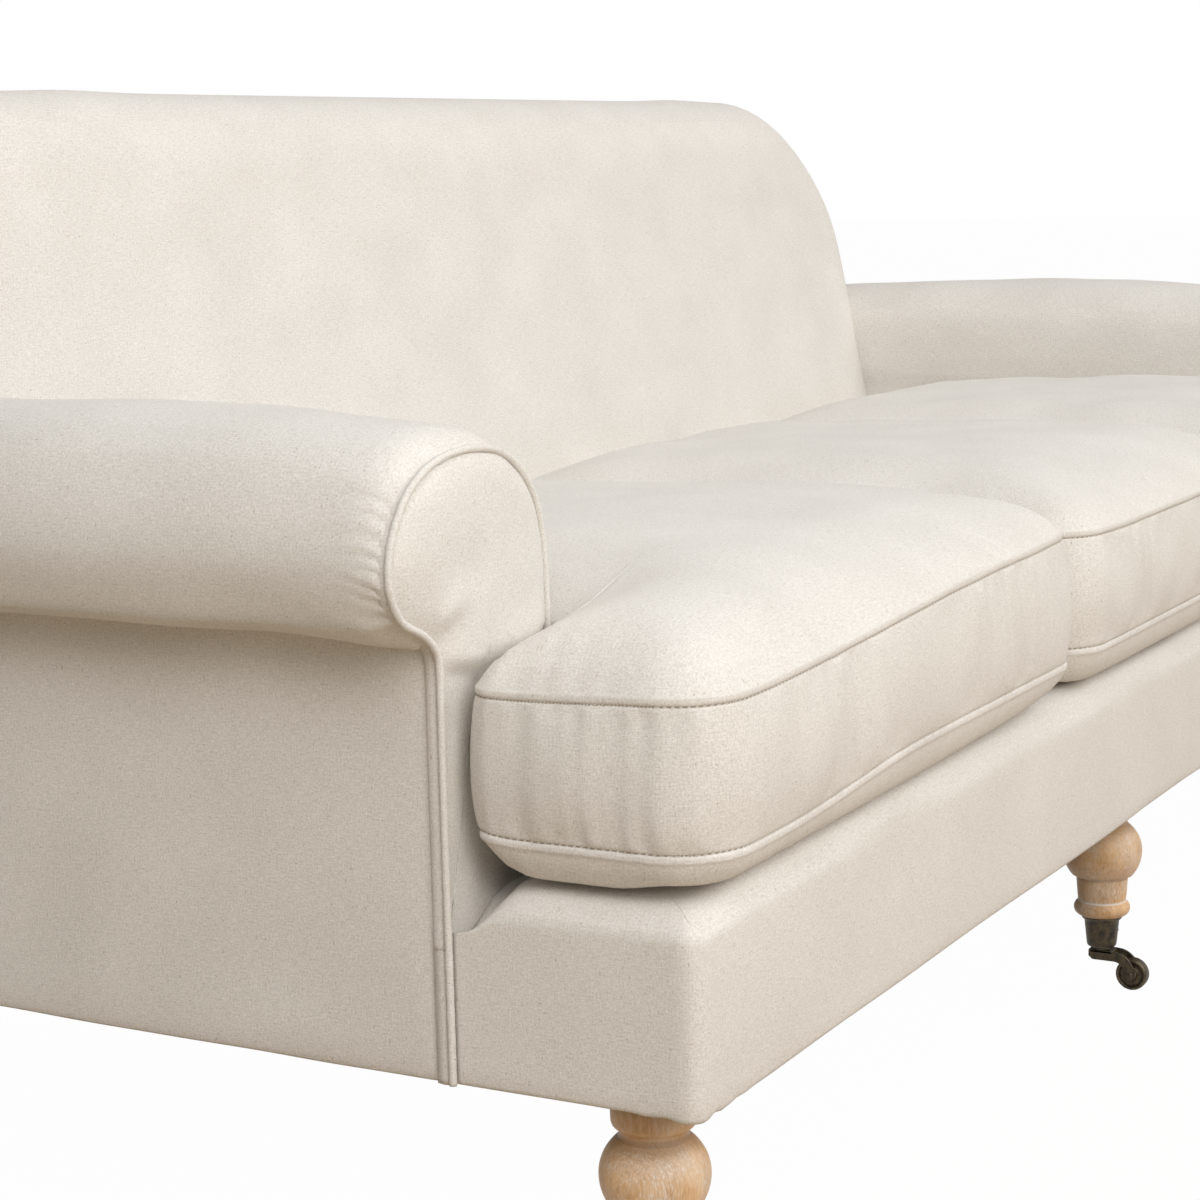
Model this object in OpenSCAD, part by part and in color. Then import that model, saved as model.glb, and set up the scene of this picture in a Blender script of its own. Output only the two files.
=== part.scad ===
// Three-seat roll-arm sofa with a tight back, T-shaped end cushions, turned front legs and cup casters.
// X runs along the seat, the front faces -Y, and Z = 0 is the floor.

/* [Base] */
// Width of the base across its two end panels
base_w = 2060; // [1700:10:2400]
// Depth of the base from the front border to the outside back
base_d = 930; // [880:5:990]
// Height of the base's underside above the floor
base_z = 207.5; // [195:0.5:240]
// Height of the front border, from the base's underside to its top
border_h = 150; // [140:0.5:165]
// Thickness of the border's and the panels' padding and cover
panel_t = 12; // [8:0.5:16]
// Depth of the padded roll on top of the front border
edge_roll_d = 110; // [80:1:150]
// Radius of the border's rounded top edge
edge_r = 30; // [15:1:36]

/* [Timber frame] */
// Height of the seat rails
rail_h = 90; // [70:1:95]
// Thickness of the front and back rails
rail_t = 30; // [22:1:36]
// Thickness of the end rails
end_rail_t = 25; // [20:1:32]
// Thickness of the seat stretchers
stretcher_t = 30; // [20:1:40]
// Height of the seat stretchers
stretcher_h = 70; // [50:1:68]
// Side of the square blocks that take the legs
block_w = 100; // [90:1:130]
// Height of the leg blocks
block_h = 50; // [40:1:60]
// Width of the back posts
post_w = 40; // [25:1:60]
// Height of the back's top rail
top_rail_h = 40; // [30:1:45]
// Depth of the back's top rail
top_rail_d = 40; // [25:1:50]
// Height of the back's lower rail
low_rail_h = 60; // [40:1:80]
// Thickness of the back's lower rail
low_rail_t = 20; // [15:1:30]
// Thickness of the arm's front board
stump_t = 25; // [18:1:30]
// Thickness of the arm's top rail
arm_rail_t = 30; // [20:1:34]
// Width of the arm's top rail
arm_rail_w = 72; // [50:1:80]
// Thickness of the arm's stay rail and back board
stay_t = 18; // [12:1:22]
// Height of the arm's stay rail
stay_h = 40; // [25:1:60]

/* [Arms] */
// Setback of the arm's front facing behind the base's front
arm_setback = 191; // [150:1:240]
// Thickness of an arm at its facing
arm_t = 145; // [120:1:170]
// Thickness of the padded front facing
facing_t = 12; // [8:0.5:16]
// Radius of the facing's roll
roll_r = 74; // [62:0.5:78]
// Height of the roll's centre above the floor at the facing
roll_z = 575; // [550:0.5:620]
// How far the facing's roll stands out past the base
roll_over = 64; // [40:0.5:70]
// Depth of the underside of the roll below its centre
roll_drop = 51; // [40:0.5:56]
// Extra height of the padded roll behind its facing
roll_puff = 23; // [4:0.5:28]
// Padding over the arm's front board
roll_pad = 10; // [6:0.5:16]
// Radius of the piping's two bends under the roll
curl_r = 8; // [5:0.5:12]
// Diameter of the piping round the facing
piping_d = 5.5; // [3:0.1:8]

/* [Back] */
// Overall height of the back above the floor
back_top_z = 910; // [840:1:960]
// Rise of the leaning face per unit of run backward
back_slope_share = 0.216; // [0.12:0.002:0.26]
// Depth of the back at the height of the base's top, from its leaning face to the rear
back_d = 260; // [240:1:300]
// Depth of the back's padding, front to rear
back_pad_t = 60; // [40:1:70]
// Width left free at each end of the back, in from the base's end panels
back_inset = 105; // [90:1:130]
// Radius of the back's two top corners
back_corner_r = 250; // [180:1:270]
// Thickness of the outside back panel
outside_back_t = 8; // [5:0.5:14]
// Number of webbing strips across the back
webbing_n = 4; // [3:1:5]
// Width of a webbing strip
webbing_w = 50; // [30:1:60]
// Thickness of a webbing strip
webbing_t = 2; // [1:0.5:3]

/* [Seat springs] */
// Number of sinuous springs on each side of the middle
spring_pairs = 5; // [3:1:6]
// Width of a sinuous spring
spring_w = 50; // [40:1:60]
// Thickness of the spring wire
spring_wire = 4; // [3:0.5:5]
// Number of crossbars in a spring
spring_bars = 15; // [9:2:21]

/* [Cushions] */
// Width of the centre cushion
centre_w = 592; // [400:1:700]
// How far the cushions stand out past the base's front
cushion_over = 17; // [5:1:30]
// Height of the cushion's lower seam above the floor
seam_low_z = 397; // [390:0.5:405]
// Height of the cushion's upper seam above the floor
seam_top_z = 499; // [480:0.5:510]
// Crown of the cushion above its upper seam
crown = 41; // [20:1:60]
// How far the seams are drawn in behind the cushion's sides
seam_draw = 6; // [2:0.5:10]
// Radius of the end cushions' outer corners
ear_r = 22; // [12:1:40]
// Radius of the cushions' other corners
corner_r = 16; // [8:1:24]
// Gap from the ear of an end cushion to the arm's facing
ear_gap = 14; // [8:1:40]
// Thickness of the padding between a cushion's cover and its foam core
wrap_t = 20; // [12:1:30]
// Gap between neighbouring cushions
cushion_gap = 1.6; // [1:0.1:6]

/* [Legs] */
// Inset of the leg axes from the base's ends
leg_in_x = 64.5; // [58:0.5:80]
// Inset of the leg axes from the base's front and back
leg_in_y = 68.7; // [60:0.5:80]
// Diameter of the leg's top collar
collar_d = 63; // [58:0.5:70]
// Height of the leg's top collar
collar_h = 22; // [16:0.5:26]
// Diameter of the neck above the bulb
neck_d = 54; // [46:0.5:58]
// Diameter of the leg's bulb
bulb_d = 79; // [70:0.5:80]
// Drop of the bulb's centre below the base's underside
bulb_drop = 65.6; // [62:0.1:68]
// Diameter at the top of the tapered stem
stem_top_d = 52; // [48:0.5:56]
// Diameter at the foot of the tapered stem
stem_low_d = 48; // [44:0.5:50]
// Outer diameter of the ring below the stem
ring_d = 56; // [52:0.5:60]
// Thickness of the ring
ring_h = 15; // [11:0.5:16]
// Drop of the ring's underside below the base's underside
ring_drop = 132.7; // [130:0.1:136]
// Side of a rear leg at its top
rear_leg_top = 50; // [40:1:60]
// Side of a rear leg at the floor
rear_leg_foot = 32; // [25:1:40]
// Rake of a rear leg toward the back
rear_rake = 25; // [5:1:30]
// Diameter of the leg bolts
bolt_d = 8; // [6:0.5:12]
// Length of a leg bolt in its leg and in its block
bolt_grip = 40; // [25:1:45]

/* [Casters] */
// Outer diameter of the cup's mouth
cup_top_d = 40.6; // [38:0.1:44]
// Outer diameter of the cup's foot
cup_low_d = 29.7; // [28:0.1:33]
// Height of the cup
cup_h = 33; // [30:0.5:36]
// Wall of the cup
cup_wall = 1.6; // [1:0.1:2.2]
// Thickness of the cup's floor
cup_floor = 2.5; // [2:0.1:3.5]
// Height of the cup's rim bead
rim_h = 3; // [2:0.1:5]
// Diameter of the wheel
wheel_d = 32; // [28:0.5:33]
// Width of the wheel
wheel_w = 12; // [9:0.5:14]
// Offset of the wheel's axle from the swivel axis
trail = 32.4; // [30:0.1:36]
// Thickness of the fork's cheeks
cheek_t = 2.5; // [1.5:0.1:3.5]
// Height of the fork's arm
fork_h = 10; // [7:0.5:11]
// Diameter of the axle
axle_d = 5; // [4:0.1:6]
// Diameter of the swivel pin
pin_d = 8; // [6:0.1:9]

/* [Hidden] */
$fn = 48;

// Clearances and overruns
gap = 0.4;
run = 0.05;
over = 1;

// Colours
linen = [0.93, 0.90, 0.85];
timber = [0.80, 0.68, 0.50];
oak = [0.76, 0.58, 0.41];
bronze = [0.27, 0.23, 0.17];
steel = [0.55, 0.56, 0.58];
cambric = [0.12, 0.12, 0.13];
foam = [0.90, 0.88, 0.70];
jute = [0.66, 0.55, 0.38];

// Heights
hem_t = 1.5;
cambric_t = 1;
frame_z = base_z + hem_t;
rail_top = frame_z + rail_h;
spring_top = rail_top + spring_wire;
deck_low = spring_top + gap;
base_top = base_z + border_h;

// Plan, with Y measured from the base's front
mid_y = (base_d - cushion_over) / 2;
half_w = base_w / 2;
skin = panel_t + gap;
rail_y0 = skin;
rail_y1 = rail_y0 + rail_t;
rear_y1 = base_d - outside_back_t - gap;
rear_y0 = rear_y1 - rail_t;
end_x1 = half_w - skin;
end_x0 = end_x1 - end_rail_t;
stretcher_x = centre_w / 2;
facing_y1 = arm_setback + facing_t;
stump_y0 = facing_y1 + gap;
stump_y1 = stump_y0 + stump_t;
arm_in = half_w - arm_t;
leg_x = half_w - leg_in_x;
front_leg_y = leg_in_y;
rear_leg_y = base_d - leg_in_y;

// Outline of the arm, in U inward from the base's end and Z up
roll_low_z = roll_z - roll_drop;
outer_u = roll_r - roll_over;
inner_u = arm_t - roll_r;
puff_share = 0.1;
puff_r = roll_r + roll_puff * puff_share;
puff_z = roll_z + roll_puff - (puff_r - roll_r);
roll_under_z = roll_low_z - gap;
head_r = roll_r - roll_pad;
head_low_z = roll_low_z + roll_pad;
board_u0 = skin;
board_u1 = arm_t - skin;

// Side view of the back
face_len = sqrt(1 + back_slope_share * back_slope_share);
back_y0 = base_d - back_d;
function face_y(z) = back_y0 + back_slope_share * (z - base_top);
// The crest's radius lets it touch both the leaning face and the rear plane
crest_run = rear_y1 - face_y(back_top_z);
crest_r = crest_run / (1 + face_len - back_slope_share);
crest_z = back_top_z - crest_r;
crest_y = rear_y1 - crest_r;
tangent_z = crest_z + crest_r * back_slope_share / face_len;
back_low_z = base_top + gap;
post_low_z = frame_z + block_h + gap;
post_top_z = crest_z - top_rail_h / 2;
post_front = back_pad_t + webbing_t + 2 * gap;
low_rail_z = base_top + gap;
top_rail_y = max(face_y(post_top_z) + post_front, crest_y - top_rail_d / 2);
corner_z = back_top_z - back_corner_r;
back_half = half_w - back_inset;
corner_x = back_half - back_corner_r;
rail_rise = post_top_z + top_rail_h - corner_z;
post_x1 = corner_x + sqrt(back_corner_r * back_corner_r - rail_rise * rail_rise) - skin;
post_x0 = post_x1 - post_w;
wide_z = puff_z;

// Legs and casters, by height
bulb_z = base_z - bulb_drop;
bulb_r = bulb_d / 2;
ring_low_z = base_z - ring_drop;
ring_mid_z = ring_low_z + ring_h / 2;
stem_top_z = bulb_z - sqrt(bulb_r * bulb_r - stem_top_d * stem_top_d / 4);
cup_low_z = ring_low_z - cup_h;
wheel_r = wheel_d / 2;
head_gap = 0.3;
pin_head_h = 3;
pin_lip = 2.5;
pin_head_d = pin_d + 2 * pin_lip;
collar_top = cup_low_z - head_gap;
thrust_h = 3;
fork_top = collar_top - thrust_h;
fork_low = fork_top - fork_h;
plate_t = 4;
wheel_room = 0.6;
fork_in = wheel_w / 2 + wheel_room;
fork_out = fork_in + cheek_t;
fork_tail = 11;
hub_r = axle_d;
bend_r = fork_top - wheel_r;
bend_y = -trail + bend_r - fork_h / 2;
rim_w = 2.5;
web_w = 5;
hub_w = 11;
hub_d = 10;
head_t = 1.2;
head_lip = 1;
spigot_room = 2;
spigot_floor = cup_low_z + cup_floor + head_gap + pin_head_h + spigot_room;
axle_head_d = axle_d + 2 * head_lip;
groove = 1.2;

// Everything below is drawn from the base's front and moved so that the middle of the depth is at Y = 0
module place() {
    translate([0, -mid_y, 0]) children();
}

// A solid with a cross-section drawn in Y and Z, running from x0 to x1
module along_x(x0, x1) {
    translate([x0, 0, 0])
        rotate([90, 0, 90])
            linear_extrude(x1 - x0) children();
}

// A solid with a front view drawn in X and Z, running from y0 to y1
module along_y(y0, y1) {
    translate([0, y1, 0])
        rotate([90, 0, 0])
            linear_extrude(y1 - y0) children();
}

module box(x0, x1, y0, y1, z0, z1) {
    translate([x0, y0, z0]) cube([x1 - x0, y1 - y0, z1 - z0]);
}

// The same piece on the left (side = -1) or the right (side = 1) of the middle
module on_side(side) {
    mirror([side < 0 ? 1 : 0, 0, 0]) children();
}

// Draws an arm's front view, with U inward from the base's right end
module arm_view() {
    translate([half_w, 0]) mirror([1, 0]) children();
}

module front_rail() {
    color(timber) place()
        box(-end_x1, end_x1, rail_y0, rail_y1, frame_z, rail_top);
}

module back_rail() {
    color(timber) place()
        box(-end_x0, end_x0, rear_y0, rear_y1, frame_z, rail_top);
}

module end_rail(side) {
    color(timber) place() on_side(side)
        box(end_x0, end_x1, rail_y1, rear_y1, frame_z, rail_top);
}

module seat_stretchers() {
    color(timber) place()
        for (x = [-stretcher_x, stretcher_x])
            box(x - stretcher_t / 2, x + stretcher_t / 2, rail_y1, rear_y0,
                frame_z, frame_z + stretcher_h);
}

module leg_block(x0, y0, leg_x0, leg_y0) {
    difference() {
        box(x0, x0 + block_w, y0, y0 + block_w, frame_z, frame_z + block_h);
        translate([leg_x0, leg_y0, frame_z - over])
            cylinder(d = bolt_d + 2 * run, h = block_h + 2 * over);
    }
}

module leg_blocks() {
    color(timber) place()
        for (row = [[rail_y1, front_leg_y], [rear_y0 - block_w, rear_leg_y]]) {
            leg_block(-end_x0, row[0], -leg_x, row[1]);
            leg_block(-block_w / 2, row[0], 0, row[1]);
            leg_block(end_x0 - block_w, row[0], leg_x, row[1]);
        }
}

// Side view of a back post, notched over the back rail
module post_view(rear) {
    polygon([
        [face_y(post_low_z) + post_front, post_low_z],
        [rear_y0, post_low_z],
        [rear_y0, rail_top],
        [rear, rail_top],
        [rear, post_top_z],
        [face_y(post_top_z) + post_front, post_top_z]]);
}

module back_post(x0, rear) {
    color(timber) place()
        along_x(x0, x0 + post_w) post_view(rear);
}

module back_top_rail() {
    color(timber) place()
        box(-post_x1, post_x1, top_rail_y, top_rail_y + top_rail_d,
            post_top_z, post_top_z + top_rail_h);
}

module back_lower_rail() {
    color(timber) place()
        box(-post_x0, post_x0, rear_y1 - low_rail_t, rear_y1,
            low_rail_z, low_rail_z + low_rail_h);
}

// The rolled head of an arm's outline: two round shoulders with a flat top between them
module roll_view(r, z, u_out, u_in, low, corner_u) {
    difference() {
        union() {
            translate([u_out, z]) circle(r);
            translate([u_in, z]) circle(r);
            translate([u_out, z - r]) square([u_in - u_out, 2 * r]);
            translate([u_in, low]) square([corner_u - u_in, z - low]);
        }
        translate([u_out - r - over, z - 2 * r])
            square([u_in - u_out + 2 * (r + over), 2 * r - z + low]);
    }
}

// Front view of the facing: the rolled head over an upright column, with a hem down the base's end
module facing_view() {
    roll_view(roll_r, roll_z, outer_u, inner_u, roll_low_z, arm_t);
    translate([0, deck_low]) square([arm_t, roll_z - deck_low]);
    translate([0, base_z]) square([panel_t, roll_z - base_z]);
}

// Front view of the front board, grown by a clearance where it leaves room for itself
module stump_head(grow) {
    roll_view(head_r + grow, roll_z, outer_u, inner_u, head_low_z - grow, inner_u + head_r + grow);
    translate([board_u0 - grow, rail_top]) square([board_u1 - board_u0 + 2 * grow, roll_z - rail_top]);
}

module arm_stump(side) {
    color(timber) place() on_side(side)
        along_y(stump_y0, stump_y1) arm_view() {
            stump_head(0);
            translate([half_w - end_x0, frame_z])
                square([board_u1 - half_w + end_x0, rail_top - frame_z + over]);
        }
}

arm_rail_x0 = arm_in + skin;
arm_rail_x1 = arm_rail_x0 + arm_rail_w;
arm_rail_z0 = roll_z - arm_rail_t / 2;
arm_rail_y1 = rear_y1 - stay_t;

module arm_top_rail(side) {
    color(timber) place() on_side(side)
        box(arm_rail_x0, arm_rail_x1, stump_y1, arm_rail_y1, arm_rail_z0, arm_rail_z0 + arm_rail_t);
}

stay_z1 = roll_under_z - gap;

module arm_stay_rails() {
    color(timber) place()
        for (side = [-1, 1])
            on_side(side) {
                box(end_x1 - stay_t, end_x1, stump_y1, rear_y1 - stay_t, stay_z1 - stay_h, stay_z1);
                box(post_x1, end_x1, rear_y1 - stay_t, rear_y1, rail_top, stay_z1);
            }
}

// Plan of one spring: crossbars joined at alternate ends
module spring_view(length) {
    pitch = (length - spring_wire) / (spring_bars - 1);
    for (i = [0 : spring_bars - 1])
        translate([0, i * pitch]) square([spring_w, spring_wire]);
    for (i = [0 : spring_bars - 2])
        translate([i % 2 == 0 ? spring_w - spring_wire : 0, i * pitch])
            square([spring_wire, pitch + spring_wire]);
}

module seat_springs() {
    first_y = rail_y0 + rail_t / 2;
    last_y = rear_y0 + rail_t / 2;
    pitch = post_x0 / spring_pairs;
    color(steel) place()
        for (side = [-1, 1])
            for (i = [0 : spring_pairs - 1])
                on_side(side)
                    translate([(i + 0.5) * pitch - spring_w / 2, first_y, rail_top])
                        linear_extrude(spring_wire) spring_view(last_y - first_y);
}

module back_webbing() {
    step = (post_top_z - base_top - webbing_w) / webbing_n;
    color(jute) place()
        for (i = [0 : webbing_n - 1]) {
            z0 = base_top + (i + 0.5) * step;
            z1 = z0 + webbing_w;
            y0 = back_pad_t + gap;
            along_x(-post_x1, post_x1)
                polygon([
                    [face_y(z0) + y0, z0],
                    [face_y(z0) + y0 + webbing_t, z0],
                    [face_y(z1) + y0 + webbing_t, z1],
                    [face_y(z1) + y0, z1]]);
        }
}

deck_y0 = edge_roll_d + gap;

module seat_deck() {
    color(linen) place()
        box(-arm_in + gap, arm_in - gap, deck_y0, face_y(deck_low) - gap, deck_low, base_top);
}

module dust_cover() {
    color(cambric) place()
        difference() {
            box(-half_w + skin, half_w - skin, skin, rear_y1, base_z + gap / 2, base_z + gap / 2 + cambric_t);
            for (x = [-leg_x, 0, leg_x]) {
                translate([x, front_leg_y, base_z - over])
                    cylinder(d = collar_d + over, h = 2 * over + cambric_t);
                box(x - rear_leg_top / 2 - over, x + rear_leg_top / 2 + over,
                    rear_leg_y - rear_leg_top / 2 - over, rear_leg_y + rear_leg_top / 2 + over,
                    base_z - over, base_z + over + cambric_t);
            }
        }
}

// Cross-section of a padded edge: an outer wall with a roll on top, its outer edge rounded
module edge_view(depth) {
    difference() {
        union() {
            translate([0, base_z]) square([depth, border_h - edge_r]);
            translate([edge_r, base_z]) square([depth - edge_r, border_h]);
            translate([edge_r, base_top - edge_r]) circle(edge_r);
        }
        translate([panel_t, base_z - over]) square([depth, deck_low - base_z + over]);
    }
}

module front_border() {
    color(linen) place()
        along_x(-half_w, half_w) edge_view(edge_roll_d);
}

// The border's return along the base's end, up to the piping
module border_return(side) {
    color(linen) place() on_side(side)
        difference() {
            union() {
                along_y(edge_roll_d + gap, arm_setback - gap)
                    arm_view() edge_view(arm_t - gap);
                box(half_w - panel_t, half_w, panel_t + gap, edge_roll_d + over, base_z, deck_low - gap);
            }
            box(half_w - piping_d - gap, half_w + over, cord_y - cord_r - gap, arm_setback,
                base_z - over, base_top + over);
        }
}

module arm_facing(side) {
    color(linen) place() on_side(side)
        along_y(arm_setback, facing_y1) arm_view() facing_view();
}

// Piping: a round cord bent along the facing's outline, half its thickness inside it
cord_r = piping_d / 2;
cord_y = arm_setback - cord_r - gap;
arc_r = roll_r - cord_r;
curl_angle = asin((roll_drop - cord_r - curl_r) / (arc_r - curl_r));
curl_u = outer_u - (arc_r - curl_r) * cos(curl_angle);
cord_low_z = roll_low_z + cord_r;

// Points on an arc after its first one, from one angle to another
function arc_points(c, r, from, to, n) = [
    for (i = [1 : n])
        let (a = from + (to - from) * i / n)
            [c[0] + r * cos(a), c[1] + r * sin(a)]
];

// The cord's route in the arm's front view, from the base's underside up, over the roll and down to the seat
function cord_route() =
    let (
        turn_z = cord_low_z - curl_r,
        turn = [cord_r - curl_r, turn_z],
        curl = [curl_u, cord_low_z + curl_r],
        start = 180 + curl_angle
    )
    concat(
        [[cord_r, base_z], [cord_r, turn_z]],
        arc_points(turn, curl_r, 0, 90, 4),
        [[curl_u, cord_low_z]],
        arc_points(curl, curl_r, 270, start, 4),
        arc_points([outer_u, roll_z], arc_r, start, 90, 14),
        [[inner_u, roll_z + arc_r]],
        arc_points([inner_u, roll_z], arc_r, 90, 0, 10),
        [[arm_t - cord_r, base_top + over]]);

cord_sides = 8;

// A closed tube along a flat route
module cord_tube(route) {
    n = len(route);
    points = [
        for (i = [0 : n - 1])
            let (
                way = route[min(i + 1, n - 1)] - route[max(i - 1, 0)],
                side = [-way[1], way[0]] / norm(way)
            )
            for (k = [0 : cord_sides - 1])
                let (a = 360 * k / cord_sides, q = route[i] + cord_r * cos(a) * side)
                    [q[0], q[1], cord_r * sin(a)]
    ];
    walls = [
        for (i = [0 : n - 2])
            for (k = [0 : cord_sides - 1])
                let (a = i * cord_sides + k, b = i * cord_sides + (k + 1) % cord_sides)
                    each [[a, b, b + cord_sides], [a, b + cord_sides, a + cord_sides]]
    ];
    foot = [for (k = [cord_sides - 1 : -1 : 0]) k];
    head = [for (k = [0 : cord_sides - 1]) (n - 1) * cord_sides + k];
    polyhedron(points, concat(walls, [foot, head]), convexity = 6);
}

module arm_piping(side) {
    color(linen) place() on_side(side)
        translate([half_w, cord_y, 0])
            rotate([90, 0, 0])
                mirror([1, 0, 0]) cord_tube(cord_route());
}

// The padded roll swells behind the facing and settles again toward the rear
swell_y_shares = [0, 0.022, 0.056, 0.125, 0.33, 0.54, 0.75, 1];
swell_z_shares = [0, 0.63, 0.75, 0.87, 1, 1, 0.85, 0.7];
roll_room_share = 0.85;
function swell_r(share) = roll_r + (puff_r - roll_r) * share;
function swell_z(share) = roll_z + (puff_z - roll_z) * share;

module swell_view(share, grow) {
    r = swell_r(share) + grow;
    u_in = arm_t - swell_r(share);
    roll_view(r, swell_z(share), outer_u, u_in, roll_under_z - grow, u_in + r);
}

// The room that the back leaves for the arm's roll
module roll_room() {
    along_y(back_y0 - panel_t, base_d)
        arm_view() swell_view(roll_room_share, gap);
}

module arm_roll(side) {
    y0 = facing_y1 + gap;
    y1 = rear_y1 - over;
    color(linen) place() on_side(side)
        difference() {
            hull()
                for (i = [0 : len(swell_y_shares) - 1])
                    let (y = y0 + (y1 - y0) * swell_y_shares[i])
                        along_y(y, y + over)
                            arm_view() swell_view(swell_z_shares[i], 0, $fn = 40);
            along_y(y0 - over, stump_y1 + gap) arm_view() stump_head(gap);
            box(arm_rail_x0 - gap, arm_rail_x1 + gap, stump_y1, rear_y1 + over,
                arm_rail_z0 - gap, arm_rail_z0 + arm_rail_t + gap);
        }
}

module inside_arm(side) {
    z0 = base_top + gap;
    z1 = roll_under_z - gap;
    color(linen) place() on_side(side)
        along_x(arm_in, arm_in + panel_t)
            polygon([
                [stump_y1 + gap, z0],
                [face_y(z0) - gap, z0],
                [face_y(z1) - gap, z1],
                [stump_y1 + gap, z1]]);
}

module outside_arm(side) {
    color(linen) place() on_side(side)
        box(half_w - panel_t, half_w, facing_y1 + gap, rear_y1, base_z, roll_under_z - gap);
}

// Front view of the back above the seat, with rounded top corners
module back_view(low, inset) {
    inner = arm_in - gap;
    translate([-inner, low]) square([2 * inner, wide_z - low]);
    translate([-back_half + inset, wide_z]) square([2 * (back_half - inset), corner_z - wide_z]);
    translate([-corner_x, corner_z]) square([2 * corner_x, back_corner_r - inset]);
    for (x = [-corner_x, corner_x])
        translate([x, corner_z]) circle(back_corner_r - inset);
}

// Front view of the padded rim that closes the back's two ends above the arms
module back_rim_view() {
    difference() {
        back_view(roll_under_z, 0);
        back_view(roll_under_z - over, panel_t);
        translate([-corner_x, roll_under_z - over]) square([2 * corner_x, back_top_z]);
    }
}

// Side view of the back's closed ends, from the leaning pad to the rear
module back_end_view() {
    rear = rear_y1 - over;
    top = post_top_z + over;
    deep = back_pad_t - over;
    polygon([
        [face_y(roll_under_z) + deep, roll_under_z],
        [rear, roll_under_z],
        [rear, top],
        [face_y(top) + deep, top]]);
}

// Side view of the back: the leaning pad and the round crest over the top rail
module back_side_view() {
    polygon([
        [face_y(back_low_z), back_low_z],
        [face_y(back_low_z) + back_pad_t, back_low_z],
        [face_y(post_top_z) + back_pad_t, post_top_z],
        [face_y(post_top_z) + back_pad_t, tangent_z],
        [face_y(tangent_z), tangent_z]]);
    difference() {
        translate([crest_y, crest_z]) circle(crest_r);
        translate([crest_y - 2 * crest_r, post_top_z - 2 * crest_r]) square([4 * crest_r, 2 * crest_r]);
        translate([top_rail_y - gap, post_top_z - over])
            square([top_rail_d + 2 * gap, top_rail_h + gap + over]);
    }
}

module back_pad() {
    color(linen) place()
        difference() {
            union() {
                intersection() {
                    along_x(-back_half, back_half) back_side_view();
                    along_y(back_y0 - over, base_d) back_view(back_low_z, 0);
                }
                intersection() {
                    along_x(-back_half, back_half) back_end_view();
                    along_y(back_y0 - over, base_d) back_rim_view();
                }
            }
            for (side = [-1, 1])
                on_side(side) roll_room();
        }
}

module outside_back() {
    color(linen) place()
        along_y(rear_y1 + gap, base_d) {
            translate([-half_w, base_z]) square([base_w, roll_under_z - base_z]);
            intersection() {
                union() {
                    translate([-back_half, roll_under_z - over])
                        square([2 * back_half, corner_z - roll_under_z + over]);
                    back_view(roll_under_z - over, 0);
                }
                translate([-half_w, roll_under_z - over])
                    square([base_w, crest_z - roll_under_z + over]);
            }
        }
}

// A rounded corner as four points on a quarter turn, seen from the corner itself
turn_shares = [0, 1 / 3, 2 / 3, 1];
function corner_points(p, back, ahead, r) = [
    for (s = turn_shares)
        let (a = 90 * s)
            p + r * back * (1 - sin(a)) + r * ahead * (1 - cos(a))
];

// Points between two corners, neither end included
function side_points(a, b, n) = [for (i = [1 : n]) a + (b - a) * i / (n + 1)];

cushion_y0 = -cushion_over;
cushion_y1 = face_y(seam_low_z) - gap - seam_draw / 2;
ear_y1 = arm_setback - ear_gap;
stem_x1 = arm_in - gap - over;
centre_x1 = (centre_w - cushion_gap) / 2;
end_x_in = (centre_w + cushion_gap) / 2;

// Outline of the centre cushion, walked from its front left corner
function centre_outline() = concat(
    corner_points([-centre_x1, cushion_y0], [0, 1], [1, 0], corner_r),
    side_points([-centre_x1, cushion_y0], [centre_x1, cushion_y0], 7),
    corner_points([centre_x1, cushion_y0], [-1, 0], [0, 1], corner_r),
    side_points([centre_x1, cushion_y0], [centre_x1, cushion_y1], 8),
    corner_points([centre_x1, cushion_y1], [0, -1], [-1, 0], corner_r),
    side_points([centre_x1, cushion_y1], [-centre_x1, cushion_y1], 7),
    corner_points([-centre_x1, cushion_y1], [1, 0], [0, -1], corner_r),
    side_points([-centre_x1, cushion_y1], [-centre_x1, cushion_y0], 8));

// Outline of the right end cushion, whose ear passes in front of the arm
function end_outline() = concat(
    corner_points([end_x_in, cushion_y0], [0, 1], [1, 0], corner_r),
    side_points([end_x_in, cushion_y0], [half_w, cushion_y0], 9),
    corner_points([half_w, cushion_y0], [-1, 0], [0, 1], ear_r),
    side_points([half_w, cushion_y0], [half_w, ear_y1], 2),
    corner_points([half_w, ear_y1], [0, -1], [-1, 0], ear_r),
    side_points([half_w, ear_y1], [stem_x1, ear_y1], 1),
    [[stem_x1 + seam_draw, ear_y1], [stem_x1, ear_y1 + seam_draw]],
    side_points([stem_x1, ear_y1], [stem_x1, cushion_y1], 6),
    corner_points([stem_x1, cushion_y1], [0, -1], [-1, 0], corner_r),
    side_points([stem_x1, cushion_y1], [end_x_in, cushion_y1], 6),
    corner_points([end_x_in, cushion_y1], [1, 0], [0, -1], corner_r),
    side_points([end_x_in, cushion_y1], [end_x_in, cushion_y0], 8));

// Levels of a cushion: share of the way out from its middle, seam draw-in, and height from a seam.
// The height counts in crowns above or below a seam, or in band heights between the seams.
panel_shares = [0.25, 0.5, 0.72, 0.88, 0.97];
band_shares = [0, 0.2, 0.5, 0.8, 1];
band_h = seam_top_z - seam_low_z;
low_crown = seam_low_z - base_top - gap;
dome_flat = 2.6;
dome_round = 0.7;
function dome(share) = pow(1 - pow(share, dome_flat), dome_round);

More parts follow.
